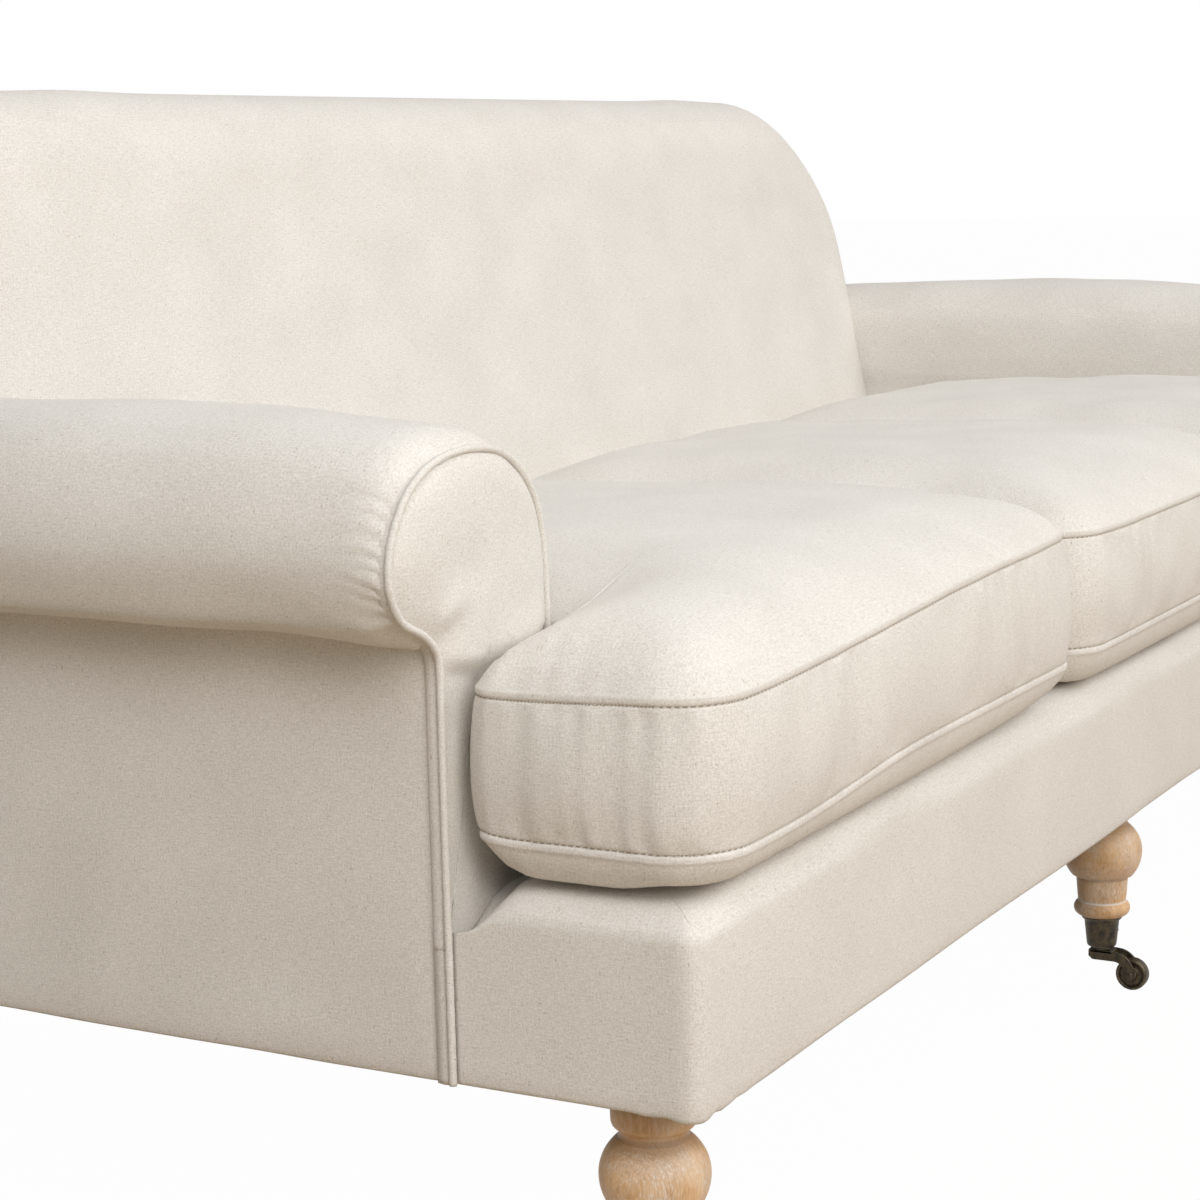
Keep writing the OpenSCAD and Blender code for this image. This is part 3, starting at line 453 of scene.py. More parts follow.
def edge_distance(points, outline):
    """Soft distance of flat points from an outline: true near one edge, with no creases between edges."""
    power = 6.0
    share = 3 * math.pi / 8
    step = np.linalg.norm(np.roll(outline, -1, 0) - outline, axis=1)
    result = np.empty(len(points))
    for i in range(0, len(points), 4000):
        gap = np.linalg.norm(points[i:i + 4000, None] - outline[None], axis=2)
        total = (step / np.maximum(gap, 1e-4) ** power).sum(1) / share
        result[i:i + 4000] = total ** (-1 / (power - 1))
    return result


def arc(centre_x, centre_y, radius, start, end, count):
    """Points on an arc, from one angle to another in degrees."""
    return [(centre_x + radius * math.cos(a), centre_y + radius * math.sin(a))
            for a in np.radians(np.linspace(start, end, count))]


def rounded_outline(corners, step):
    """A closed outline from (x, y, radius) corners walked anticlockwise, in even steps."""
    found = []
    n = len(corners)
    for i, (x, y, r) in enumerate(corners):
        here = np.array([x, y])
        back = np.array(corners[i - 1][:2]) - here
        ahead = np.array(corners[(i + 1) % n][:2]) - here
        back, ahead = back / np.linalg.norm(back), ahead / np.linalg.norm(ahead)
        if r <= 0:
            found.append(here)
            continue
        half = math.acos(float(np.clip(back @ ahead, -1, 1))) / 2
        start, end = here + back * r / math.tan(half), here + ahead * r / math.tan(half)
        middle = (back + ahead) / np.linalg.norm(back + ahead)
        centre = here + middle * r / math.sin(half)
        a, b = start - centre, end - centre
        turn = math.atan2(a[0] * b[1] - a[1] * b[0], a @ b)
        for t in np.linspace(0, turn, 9):
            c, s = math.cos(t), math.sin(t)
            found.append(centre + np.array([a[0] * c - a[1] * s, a[0] * s + a[1] * c]))
    return spaced(np.array(found), step, closed=True)


INSETS = np.array([0.0, 0.0008, 0.0016, 0.0026, 0.004, 0.006, 0.009, 0.012])


def panel_rings(outline, centre, shares, insets=INSETS):
    """Rings of flat points from an outline to near its centre, and each ring's distance from the edge,
    None where it varies."""
    inward = outline_normals(outline)
    rings = [outline + inward * t for t in insets]
    inner = rings[-1]
    known = list(insets)
    for share in shares:
        rings.append(centre + (inner - centre) * share)
        known.append(None)
    return rings, known


def ride_as(obj, body, nodes):
    """The piece rides on a body and stands for its nodes, which are hidden."""
    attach(obj, body)
    if nodes:
        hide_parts(*nodes)
    return obj


def add_cover(name, points, faces, nodes):
    """A closed linen piece on the sofa's body that stands for its nodes."""
    cover = add_mesh(name, points, faces, LINEN)
    face_out(cover)
    add_grain(cover)
    ride_as(cover, "sofa", nodes)


# Seat cushions

# Where the rings of a cushion's panels lie, as shares of the way out from its centre
CUSHION_SHARES = [0.97, 0.94, 0.90, 0.86, 0.81, 0.76, 0.70, 0.64, 0.57, 0.50, 0.43, 0.36, 0.29, 0.22, 0.15,
                  0.08]
BAND_H = SEAM_TOP - SEAM_LOW
FRONT_Y = -0.017
BAND_BULGE = 0.0056
SEAM_IN = 0.0042
STITCH_H = 0.006
SEAM_STEP = 0.0004
CLOTH_CELL = 0.0085
CLOTH_FRAMES = 18
CLOTH_EVENING = 30
CLOTH_MOST = 0.006
CORE_FALL = 0.064
EAR_SIDE = 0.8836
EAR_REAR = 0.1790
CREST = 0.552
REAR_SINK = 0.052


def rear_limit(z):
    """Where a cushion meets the leaning back at a height."""
    return face_y(z) - 0.004


def crest_height(y):
    """Height of a cushion's crown along its depth."""
    return CREST - 0.010 * ease((y - 0.22) / 0.30) - REAR_SINK * ease((y - 0.50) / 0.19)


def seam_lift(kind, points, top):
    """How far a cushion's seam stands above the plain height: the end cushions droop at their ears."""
    x, y = np.abs(points[:, 0]), points[:, 1]
    if kind == "centre":
        return np.full(len(x), 0.0052 if top else -0.0050)
    if not top:
        behind = ease((x - 0.93) / 0.05) * ease((y - 0.135) / 0.035)
        return -0.0168 + 0.0120 * ease((0.93 - x) / 0.27) + 0.002 * behind
    rear_ear = ease((x - 0.93) / 0.05) * ease((y - 0.02) / 0.13)
    return -0.0064 - 0.004 * rear_ear + 0.0195 * ease((0.99 - x) / 0.56)


def top_inset(kind, points):
    """How much further in the upper seam runs where two cushions meet."""
    x = np.abs(points[:, 0])
    return 0.005 * ease((x - 0.17) / 0.10 if kind == "centre" else (0.45 - x) / 0.10)


def top_ease(kind, points):
    """The top cover is eased up where an ear turns round the arm, and sinks toward the back."""
    sink = -0.026 * ease((points[:, 1] - 0.53) / 0.16)
    if kind == "centre":
        return sink
    gap = np.hypot(np.abs(points[:, 0]) - EAR_SIDE, points[:, 1] - 0.1775)
    return sink + 0.016 * np.exp(-(gap / 0.06) ** 2)


def fullness(d):
    """Share of the crown reached at a distance from the upper seam."""
    return 1 - np.exp(-np.maximum(d, 0) / 0.044)


def round_share(d, wide):
    """Rises from 0 to 1 over a width, steeply at first."""
    return (1 - (1 - np.clip(d / wide, 0, 1)) ** 2.2) ** 0.72


def underside(kind, points, d, seam_z):
    """Height of a cushion's underside: it rounds down from the lower seam, then flattens onto the deck."""
    x, y = np.abs(points[:, 0]), points[:, 1]
    rest = BASE_TOP + 0.0012 - 0.006 * ease((x - 0.93) / 0.05) * ease((y - 0.03) / 0.05)
    if kind == "centre":
        edge = rest + 0.004 + 0.010 * np.exp(-np.maximum(0.2887 - x, 0) / 0.05)
    else:
        edge = rest + 0.0018 + 0.005 * ease((0.75 - x) / 0.35)
        edge += 0.030 * np.exp(-np.maximum(x - 0.3033, 0) / 0.055)
    quick = round_share(d - SEAM_STEP, 0.024)
    if kind == "end":
        ear = ease((x - 0.90) / 0.03)
        behind = 1 - (1 - np.clip((0.171 - y) / 0.047, 0, 1)) ** 2.6
        quick = quick * (1 - ear * (1 - behind))
    slow = 1 - np.exp(-np.maximum(d, 0) / 0.040)
    return seam_z - (seam_z - edge) * quick - (edge - rest) * slow


def band_profile():
    """Heights above the lower seam and how far the band stands out there, with seams and stitch rows
    drawn in. The heights are closest about the stitch rows."""
    low = np.array([0.0, 0.0008, 0.0018, 0.0030, 0.0042, 0.0052, 0.0060, 0.0068, 0.0078, 0.0092, 0.0115,
                    0.015, 0.021, 0.029, 0.038])
    heights = np.concatenate([low, [BAND_H / 2], BAND_H - low[::-1]])
    near = np.minimum(heights, BAND_H - heights)
    free = np.clip((heights - STITCH_H) / (BAND_H - 2 * STITCH_H), 0, 1)
    swell = np.sin(math.pi * free ** 0.85) ** 0.85
    strip = 0.0009 * ease((near - 0.0002) / 0.0008) * (1 - ease((near - 0.0045) / 0.0012))
    stitch = np.exp(-((near - STITCH_H) / 0.0008) ** 2) * 0.0006
    return heights, BAND_BULGE * swell + strip - stitch


def pucker(s, d, seed, depth, reach=0.022):
    """Short gathers square to a seam that fade away from it: s is the way along it, d the distance off."""
    own = np.random.default_rng(seed)
    total = np.zeros_like(s)
    full = 2 * math.pi * s
    for size in (0.019, 0.031, 0.053):
        drift = 1.7 * np.sin(full / (size * 5.3) + own.uniform(0, 6))
        total += np.sin(full / size + drift + own.uniform(0, 6))
    patches = 0.55 + 0.45 * np.sin(full / 0.31 + own.uniform(0, 6))
    return depth * total / 2 * patches * np.exp(-np.maximum(d, 0) / reach)


def cushion_outline(kind):
    """Plan of a cushion's seams, started at its rear, where the start doesn't show."""
    rear = rear_limit(SEAM_LOW)
    if kind == "centre":
        w = 0.2952
        corners = [(-w, FRONT_Y, 0.054), (w, FRONT_Y, 0.054), (w, rear, 0.020), (-w, rear, 0.020)]
    else:
        corners = [(0.2968, FRONT_Y, 0.058), (HALF_W, FRONT_Y, 0.058), (HALF_W, EAR_REAR, 0.026),
                   (EAR_SIDE, EAR_REAR, 0.012), (EAR_SIDE, rear, 0.020), (0.2968, rear, 0.020)]
    outline = rounded_outline(corners, 0.005)
    start = int(np.argmax(outline[:, 1] - 0.3 * np.abs(outline[:, 0] - 0.5)))
    return np.roll(outline, -start, axis=0)


def cushion_centre(kind):
    return np.array([0.0, 0.26]) if kind == "centre" else np.array([0.60, 0.150])


def cushion_points(kind, side):
    """Rings of a cushion from its bottom centre to its top centre, and the way along its seams, fitted to
    whole stitches."""
    outline = cushion_outline(kind)
    centre = cushion_centre(kind)
    n = len(outline)
    inward = outline_normals(outline)
    seam_line = outline + inward * SEAM_IN
    around = lengths_along(outline)
    flat, known = panel_rings(seam_line, centre, CUSHION_SHARES)
    rings = []
    seed = {"left": 11, "centre": 23, "right": 37}[side]

    def lean(points, z):
        """Toward its rear the cushion leans back with the sofa's back."""
        y = points[:, 1] + SLOPE * np.maximum(0, z - SEAM_LOW) * ease((points[:, 1] - 0.35) / 0.32)
        return np.stack([points[:, 0], y, z], 1)

    def panel(points, t, top):
        d = edge_distance(points, seam_line) if t is None else np.full(n, t)
        seam_z = (SEAM_TOP if top else SEAM_LOW) + seam_lift(kind, points, top)
        fold = 0.0006 * np.exp(-(d / 0.0007) ** 2)
        if top:
            seam_z = seam_z + top_ease(kind, points)
            z = seam_z + (crest_height(points[:, 1]) - seam_z) * fullness(d) - fold
            z = z + 0.0010 * ripple(points, 0.16, seed + 1) * ease(d / 0.05)
            z = z + pucker(around, d, seed + 3, 0.0011, 0.028)
            points = points + inward * (top_inset(kind, points) * np.exp(-d / 0.05))[:, None]
        else:
            z = underside(kind, points, d, seam_z)
            z = z - pucker(around, d, seed + 4, 0.0008)
        return lean(points, z)

    for points, t in list(zip(flat, known))[:0:-1]:
        rings.append(panel(points, t, False))
    heights, out = band_profile()
    for h, o in zip(heights, out):
        share = h / BAND_H
        gap = min(h, BAND_H - h)
        off_row = np.full(n, max(gap - STITCH_H, 0))
        wave = pucker(around, off_row, seed + 5, 0.0024, 0.024) * ease((gap - 0.004) / 0.008)
        wave = wave + 0.0010 * ripple(np.stack([around, np.full(n, h)], 1), 0.09, seed + 6) * ease(gap / 0.02)
        points = seam_line + inward * (top_inset(kind, seam_line) * share ** 1.5 - o - wave)[:, None]
        low = SEAM_LOW + seam_lift(kind, points, False)
        high = SEAM_TOP + seam_lift(kind, points, True) + top_ease(kind, points)
        rings.append(lean(points, low + (high - low) * share))
    for points, t in list(zip(flat, known))[1:]:
        rings.append(panel(points, t, True))
    if side == "left":
        rings = [mirrored(r) for r in rings]
    length = around[-1] + np.linalg.norm(outline[0] - outline[-1])
    evened = around * (round(length / STITCH_PITCH) * STITCH_PITCH / length)
    return rings, evened


def evened_moves(obj, move):
    """Each point's movement averaged over its neighbours, so that small pinches of the coarse cloth fade."""
    pairs = np.empty(len(obj.data.edges) * 2, int)
    obj.data.edges.foreach_get("vertices", pairs)
    a, b = pairs.reshape(-1, 2).T
    count = np.maximum(np.bincount(np.concatenate([a, b]), minlength=len(move)), 1)
    for _ in range(CLOTH_EVENING):
        for axis in range(3):
            total = np.bincount(a, move[b, axis], len(move))
            total += np.bincount(b, move[a, axis], len(move))
            move[:, axis] = (move[:, axis] + total / count) / 2
    return move


def tree_of(points):
    """A search tree over points."""
    tree = KDTree(len(points))
    for i, p in enumerate(points):
        tree.insert(p, i)
    tree.balance()
    return tree


def swell_cushion(obj, seams):
    """Cloth under pressure between the seams: run on a coarse copy, whose movement the fine mesh takes."""
    coarse = obj.copy()
    coarse.data = obj.data.copy()
    bpy.context.scene.collection.objects.link(coarse)
    bpy.context.view_layer.objects.active = coarse
    remesh = coarse.modifiers.new("remesh", "REMESH")
    remesh.mode = "VOXEL"
    remesh.voxel_size = CLOTH_CELL
    bpy.ops.object.modifier_apply(modifier=remesh.name)
    start = read_points(coarse)
    tree = tree_of(seams)
    held = coarse.vertex_groups.new(name="held")
    for i, p in enumerate(start):
        gap = tree.find(p)[2]
        weight = 1.0 if p[2] < BASE_TOP + 0.004 else 1 - gap / 0.014
        if weight > 0:
            held.add([i], weight, "REPLACE")
    cloth = coarse.modifiers.new("cloth", "CLOTH")
    settings = cloth.settings
    settings.quality = 5
    settings.mass = 0.35
    settings.tension_stiffness = 12
    settings.compression_stiffness = 12
    settings.shear_stiffness = 4
    settings.bending_stiffness = 0.6
    settings.use_pressure = True
    settings.uniform_pressure_force = 4.0
    settings.shrink_min = -0.004
    settings.vertex_group_mass = "held"
    settings.pin_stiffness = 3.0
    settings.effector_weights.gravity = 0
    cloth.collision_settings.use_self_collision = False
    scene = bpy.context.scene
    for f in range(1, CLOTH_FRAMES + 1):
        scene.frame_set(f)
    shown = coarse.evaluated_get(bpy.context.evaluated_depsgraph_get())
    end = read_points(shown)
    scene.frame_set(1)
    move = evened_moves(coarse, end - start)
    length = np.linalg.norm(move, axis=1)
    move *= (np.minimum(length, CLOTH_MOST) / np.maximum(length, 1e-9))[:, None]
    bpy.data.objects.remove(coarse)
    move *= ease((start[:, 2] - SEAM_LOW + 0.006) / 0.02)[:, None]
    near = tree_of(start)
    fine = read_points(obj)
    for i, p in enumerate(fine):
        found = near.find_n(p, 14)
        weight = np.array([math.exp(-(g / 0.010) ** 2) + 1e-9 for _, _, g in found])
        fine[i] = p + (move[[j for _, j, _ in found]] * weight[:, None]).sum(0) / weight.sum()
    return fine


def point_on(path, at, place):
    """The point of a path at a way along it."""
    return np.array([np.interp(place, at, path[:, j]) for j in range(3)])


def add_stitches(name, line, normal, pitch):
    """A row of short thread stitches lying in a groove along a closed line."""
    closed = np.vstack([line, line[:1]])
    outs = np.vstack([normal, normal[:1]])
    at = lengths_along(closed)
    total = at[-1]
    points, faces = [], []
    count = round(total / pitch)
    half, r, slant = 0.0015, 0.00050, 0.0007
    for k in range(count):
        middle = (k + 0.75) * total / count + rng.normal(0, 0.00006)
        ends = [point_on(closed, at, place) for place in (middle - half, middle + half)]
        out = point_on(outs, at, middle)
        way = ends[1] - ends[0]
        way /= np.linalg.norm(way)
        out -= way * (out @ way)
        out /= np.linalg.norm(out)
        side = np.cross(way, out)
        ends = [ends[0] + side * slant, ends[1] - side * slant]
        base = len(points)
        points.append(ends[0] - out * r * 0.3)
        for share in (0.25, 0.75):
            centre = ends[0] + (ends[1] - ends[0]) * share + out * r * 0.595
            points += [centre + out * r, centre + side * r, centre - out * r, centre - side * r]
        points.append(ends[1] - out * r * 0.3)
        for j in range(4):
            a, b = base + 1 + j, base + 1 + (j + 1) % 4
            faces += [(base, b, a), (a, b, b + 4, a + 4), (a + 4, b + 4, base + 9)]
    return add_mesh(name, points, faces, THREAD)


def mark_rows(obj, rows, along, m):
    """Attributes for the painted shade between stitches: closeness to a stitch row and the way along it."""
    n = len(along)
    near = np.zeros((m, n), np.float32)
    for row in rows:
        near[row] = 1.0
        near[row - 1] = near[row + 1] = 0.35
    columns = {"stitch": near.ravel(), "along": np.tile(along, m).astype(np.float32)}
    for name, values in columns.items():
        layer = obj.data.attributes.new(name, "FLOAT", "POINT")
        layer.data.foreach_set("value", np.concatenate([values, np.zeros(2, np.float32)]))


def add_cushion(side):
    """One seat cushion with its two rows of stitches."""
    kind = "centre" if side == "centre" else "end"
    rings, along = cushion_points(kind, side)
    m, n = len(rings), len(along)
    rings = [ring - np.array([0, MID_Y, 0]) for ring in rings]
    points = np.vstack(rings + [rings[0].mean(0)[None], rings[-1].mean(0)[None]])
    foot, head = m * n, m * n + 1
    faces = grid_faces(m, n, closed_cols=True)
    faces += [(foot, (k + 1) % n, k) for k in range(n)]
    faces += [(head, (m - 1) * n + k, (m - 1) * n + (k + 1) % n) for k in range(n)]
    cushion = add_mesh(f"seat_cushion_cover_{side}", points, faces, LINEN)
    face_out(cushion)
    panels = len(CUSHION_SHARES) + len(INSETS) - 1
    band = len(band_profile()[0])
    rows = {"low": panels + 6, "top": panels + band - 7}
    mark_rows(cushion, rows.values(), along, m)
    seams = np.vstack([rings[panels], rings[panels + band - 1]])
    write_points(cushion, swell_cushion(cushion, seams))
    add_grain(cushion)
    body = f"cushion_{side}"
    ride_as(cushion, body, [f"seat_cushion_{side}"])
    at, out = read_points(cushion), read_normals(cushion)
    for row, first in rows.items():
        line, outs = at[first * n:(first + 1) * n], out[first * n:(first + 1) * n]
        stitches = add_stitches(f"stitches_{row}_{side}", line, outs, STITCH_PITCH)
        ride_as(stitches, body, [])


def add_core(side):
    """The foam core inside a cushion: its edges are a little rounded and its top falls to the rear."""
    front, rear = 0.010, 0.646
    if side == "centre":
        corners = [(-0.268, front, 0.006), (0.268, front, 0.006), (0.268, rear, 0.006), (-0.268, rear, 0.006)]
    else:
        corners = [(0.324, front, 0.006), (1.003, front, 0.006), (1.003, 0.150, 0.006), (0.856, 0.150, 0.004),
                   (0.856, rear, 0.006), (0.324, rear, 0.006)]
    outline = rounded_outline(corners, 0.012)
    inward = outline_normals(outline)
    low, high = SEAM_LOW + 0.001, SEAM_TOP - 0.001
    rings = []
    for inset, rise in ((0.003, 0), (0.0008, 0.0008), (0, 0.003)):
        flat = outline + inward * inset
        rings.append(np.column_stack([flat[:, 0], flat[:, 1] - MID_Y, np.full(len(flat), low + rise)]))
    for inset, drop in ((0, 0.003), (0.0008, 0.0008), (0.003, 0)):
        flat = outline + inward * inset
        z = high - drop - CORE_FALL * (flat[:, 1] - front)
        rings.append(np.column_stack([flat[:, 0], flat[:, 1] - MID_Y, z]))
    points = np.vstack(rings)
    if side == "left":
        points = mirrored(points)
    core = add_mesh(f"foam_core_{side}", points, tube_faces(len(rings), len(outline)), FOAM)
    face_out(core)
    ride_as(core, f"cushion_{side}", [f"cushion_core_{side}"])


# Base

EDGE_R = 0.030
CORNER_ROUND = 0.016
MITRE_DEEP = 0.0022


def arm_edge_height(u):
    """Height of the border's top where it is tucked in against the arm's facing."""
    known_u = [0, 0.006, 0.013, 0.022, 0.031, 0.039, 0.047, 0.060, 0.075, 0.10, 0.145]
    known_z = [0.3182, 0.3164, 0.3154, 0.3162, 0.3186, 0.3215, 0.3254, 0.3317, 0.3335, 0.3320, 0.3300]
    return np.interp(u, known_u, known_z)


def border_section():
    """Insets and heights of the border's section, from its hem up over the rounded edge and down inside."""
    edge = [(EDGE_R * (1 - math.cos(a)), BASE_TOP - EDGE_R * (1 - math.sin(a)))
            for a in np.linspace(0, math.pi / 2, 12)]
    face = [(0.0, z) for z in np.linspace(BASE_Z + 0.004, BASE_TOP - EDGE_R, 13)[:-1]]
    top = [(t, BASE_TOP) for t in np.linspace(EDGE_R, 0.110, 14)[1:]]
    inside = [(t, DECK_LOW + 0.0004) for t in (0.110, 0.06, 0.0118)]
    hem = [(0.0118, BASE_Z + 0.001), (0.0100, BASE_Z), (0.0030, BASE_Z), (0.0008, BASE_Z + 0.0012)]
    return np.array(face + edge + top + inside + hem)


def border_spot(t, share, part):
    """Plan place for an inset t at a share of the way along the border's side, corner or front."""
    r = max(CORNER_ROUND - t, 0.0006)
    c = t + r
    if part == "side":
        return -HALF_W + t, (FACING_Y - 0.0004) * (1 - share) + c * share
    if part == "corner":
        a = math.pi / 2 * share
        return -HALF_W + c - r * math.cos(a), c - r * math.sin(a)
    return (-HALF_W + c) * (1 - share), t


def mitre_share(t):
    """Where the fold of the corner's mitre shows, by inset."""
    return float(ease((t - 0.008) / 0.006) * (1 - ease((t - 0.034) / 0.010)))


def add_border():
    """Front border with its two returns to the arms, as one cover mitred at the corners."""
    section = border_section()
    stops = [("side", s) for s in np.linspace(0, 1, 46)[:-1] ** 0.9]
    stops += [("corner", s) for s in np.linspace(0, 1, 7)]
    stops += [("front", s) for s in np.linspace(0, 1, 91)[1:]]
    rows = []
    for part, share in stops:
        fold = MITRE_DEEP * math.exp(-((share - 0.5) / 0.14) ** 2) if part == "corner" else 0
        rows.append([(*border_spot(t, share, part), z - fold * mitre_share(t)) for t, z in section])
    rows = np.array(rows)
    rows = np.concatenate([rows, mirrored(rows[::-1][1:])])
    n, m = rows.shape[:2]
    x, y, z = rows.reshape(-1, 3).T.copy()
    inset_u = HALF_W - np.abs(x)
    on_top = z > BASE_TOP - EDGE_R - 1e-6
    by_arm = np.abs(x) > ARM_IN - 0.01
    ahead = np.maximum(FACING_Y - y, 0)
    tuck = np.exp(-(ahead / 0.0265) ** 2.2) * by_arm
    share_up = np.clip((z - (BASE_TOP - EDGE_R)) / EDGE_R, 0, 1)
    lowered = z - np.maximum(z - arm_edge_height(inset_u), 0) * tuck * 0.97 * (z > 0.305)
    valley = ease((inset_u - 0.045) / 0.030) * ease((y - 0.09) / 0.04) * by_arm
    lowered -= 0.020 * valley * on_top * (1 - tuck)
    outer = ease((z - 0.26) / 0.06) * (1 - share_up)
    lowered -= outer * tuck * 0.002 + 0.012 * on_top * share_up * np.exp(-(inset_u / 0.060) ** 2)
    z = np.where(z > 0.25, lowered, z)
    wall = (np.minimum(inset_u, y) < 0.002) & (z < BASE_TOP - EDGE_R + 0.01)
    wave = 0.0008 * ripple(np.stack([x, z, y], 1), 0.26, 51)
    front = (y < 0.003) & wall
    side = (inset_u < 0.003) & wall
    belly = 0.0015 * np.sin(math.pi * np.clip((z - BASE_Z) / (BASE_TOP - BASE_Z), 0, 1))
    y = np.where(front, y + wave - belly, y)
    x = np.where(side & ~front, x - np.sign(x) * wave, x)
    hem = z < BASE_Z + 0.006
    turned = np.exp(-(np.hypot(inset_u - 0.02, y) / 0.045) ** 2)
    scallop = 0.0012 + 0.0014 * np.sin((x + y) * 2 * math.pi / 0.031)
    z = np.where(hem, z + 0.0003 * ripple(np.stack([x, y], 1), 0.25, 52) - turned * scallop, z)
    crown = (z > BASE_TOP - 0.004) & (y < 0.115)
    z = np.where(crown, z + 0.0006 * ripple(np.stack([x, y], 1), 0.14, 53), z)
    add_cover("border_cover", np.stack([x, y - MID_Y, z], 1), tube_faces(n, m),
              ["front_border", "border_return_left", "border_return_right"])


def add_deck():
    """The deck under the seat cushions, softly crowned."""
    y0, y1 = 0.1105, 0.656
    ys = np.linspace(y0, y1, 32)
    y, x = np.meshgrid(ys, np.linspace(-ARM_IN + 0.001, ARM_IN - 0.001, 90), indexing="ij")
    crown = 0.0008 * np.sin(math.pi * (y - y0) / (y1 - y0)) * np.sin(math.pi * (x + ARM_IN) / (2 * ARM_IN))
    top = np.stack([x, y - MID_Y, BASE_TOP - 0.0006 + crown], -1).reshape(-1, 3)
    low = np.column_stack([top[:, :2], np.full(len(top), DECK_LOW + 0.0004)])
    points, faces = slab(top, low, *x.shape)
    add_cover("deck_cover", points, faces, ["seat_deck"])


def add_dust_cover():
    """Black cambric stapled under the base, sagging a little between the rails."""
    w, y0, y1 = HALF_W - 0.0125, 0.0125, 0.9215
    y, x = np.meshgrid(np.linspace(y0, y1, 36), np.linspace(-w, w, 80), indexing="ij")
    sag = 0.003 * np.sin(math.pi * (x + w) / (2 * w)) * np.sin(math.pi * (y - y0) / (y1 - y0))
    upper = np.stack([x, y - MID_Y, BASE_Z + 0.0012 - sag], -1).reshape(-1, 3)
    points, faces = slab(upper, upper - np.array([0, 0, 0.0008]), *x.shape)
    sheet = add_mesh("cambric_cover", points, faces, CAMBRIC)
    face_out(sheet)
    ride_as(sheet, "sofa", ["dust_cover"])


# Arms

# The welt's run round the facing: inward from the base's end, and height
WELT = np.array([
    (-0.0045, 0.2085), (-0.0045, 0.306), (-0.0045, 0.377), (-0.0045, 0.426), (-0.0042, 0.467),
    (-0.0040, 0.481), (-0.0038, 0.4945), (-0.0044, 0.507), (-0.0075, 0.5145), (-0.0139, 0.5214),
    (-0.021, 0.5266), (-0.0293, 0.5311), (-0.0388, 0.535), (-0.0469, 0.5393), (-0.0525, 0.5449),
    (-0.0579, 0.5537), (-0.0609, 0.5615), (-0.0623, 0.5683), (-0.0624, 0.5749), (-0.0612, 0.5846),
    (-0.0582, 0.594), (-0.0535, 0.6032), (-0.0475, 0.6123), (-0.0417, 0.6195), (-0.0341, 0.6265),
    (-0.0253, 0.6321), (-0.0139, 0.6378), (-0.0026, 0.6416), (0.0062, 0.6436), (0.0189, 0.6456),
    (0.0316, 0.6463), (0.0445, 0.6463), (0.0575, 0.6453), (0.0705, 0.6434), (0.0837, 0.6398),
    (0.0968, 0.6335), (0.110, 0.6239), (0.1205, 0.6132), (0.1283, 0.6023), (0.1333, 0.5909),
    (0.1368, 0.5782), (0.1389, 0.5635), (0.1402, 0.5488), (0.1405, 0.5343), (0.1408, 0.5198),
    (0.1412, 0.505), (0.1418, 0.46), (0.1422, 0.40), (0.1422, 0.345)])
WELT_Y = 0.1885
ARM_END = 0.9212

# How much of its full swell the roll has at depths from the front
SWELL_Y = [0.1935, 0.206, 0.218, 0.267, 0.317, 0.369, 0.449, 0.59, 0.69, 0.77, 0.92]
SWELL_SHARE = [0.0, 0.42, 0.58, 0.73, 0.88, 1.0, 1.03, 0.96, 0.85, 0.75, 0.62]


def in_model(u, y, z):
    """Left arm's point from its inward distance U, depth from the front and height."""
    return np.stack([-HALF_W + u, y - MID_Y, z], -1)


def ways_along(path):
    """Unit ways along a path."""
    way = np.gradient(path, axis=0)
    return way / np.linalg.norm(way, axis=1)[:, None]


def add_piping(side):
    """Self-piping sewn round the arm's facing."""
    path = smoothed(spaced(WELT, 0.0022), 3)
    n = len(path)
    centre = in_model(path[:, 0], np.full(n, WELT_Y), path[:, 1])
    way = ways_along(centre)
    front = np.array([0.0, -1.0, 0.0])
    across = np.cross(way, front)
    sides = 14
    along = lengths_along(centre)
    lumps = 0.035 * np.sin(along * 2 * math.pi / 0.017 + 2 * np.sin(along * 31))
    thick = CORD_R * (1 + lumps + 0.02 * np.sin(along * 2 * math.pi / 0.0061))
    points = []
    for i in range(n):
        for k in range(sides):
            a = 2 * math.pi * k / sides
            points.append(centre[i] + thick[i] * (math.cos(a) * across[i] + math.sin(a) * front))
    if side == "right":
        points = mirrored(points)
    add_cover(f"piping_{side}", points, tube_faces(n, sides), [f"arm_piping_{side}"])


def facing_outline():
    """Closed outline of the padded facing, walked anticlockwise in U and Z seen from behind."""
    run = smoothed(spaced(WELT, 0.003), 2)
    upper = run[run[:, 1] > DECK_LOW]
    closed = np.vstack([upper, [(0.1422, DECK_LOW), (-0.0045, DECK_LOW)]])
    return spaced(closed, 0.0035, closed=True)[::-1]


def facing_puff(u, z, d):
    """How far a facing stands forward: a padded round over a flatter stem, and a crease from the curl."""
    brow = 0.4985 + 1.9 * (u - 0.06) ** 2
    stem = ease((z - brow + 0.010) / 0.015)
    puff = (0.0012 + 0.0104 * stem) * (1 - np.exp(-d / 0.014)) - 0.0012 * np.exp(-d / 0.002)
    lean = 0.50
    across = (u + 0.004) * math.sin(lean) - (z - 0.522) * math.cos(lean)
    length = (u + 0.004) * math.cos(lean) + (z - 0.522) * math.sin(lean)
    fade = ease((length + 0.006) / 0.010) * (1 - ease((length - 0.008) / 0.038))
    crease = 0.0024 * np.exp(-(across / 0.0105) ** 2) * fade
    over = 0.0016 * np.exp(-((across + 0.015) / 0.010) ** 2) * fade
    return puff - crease + over


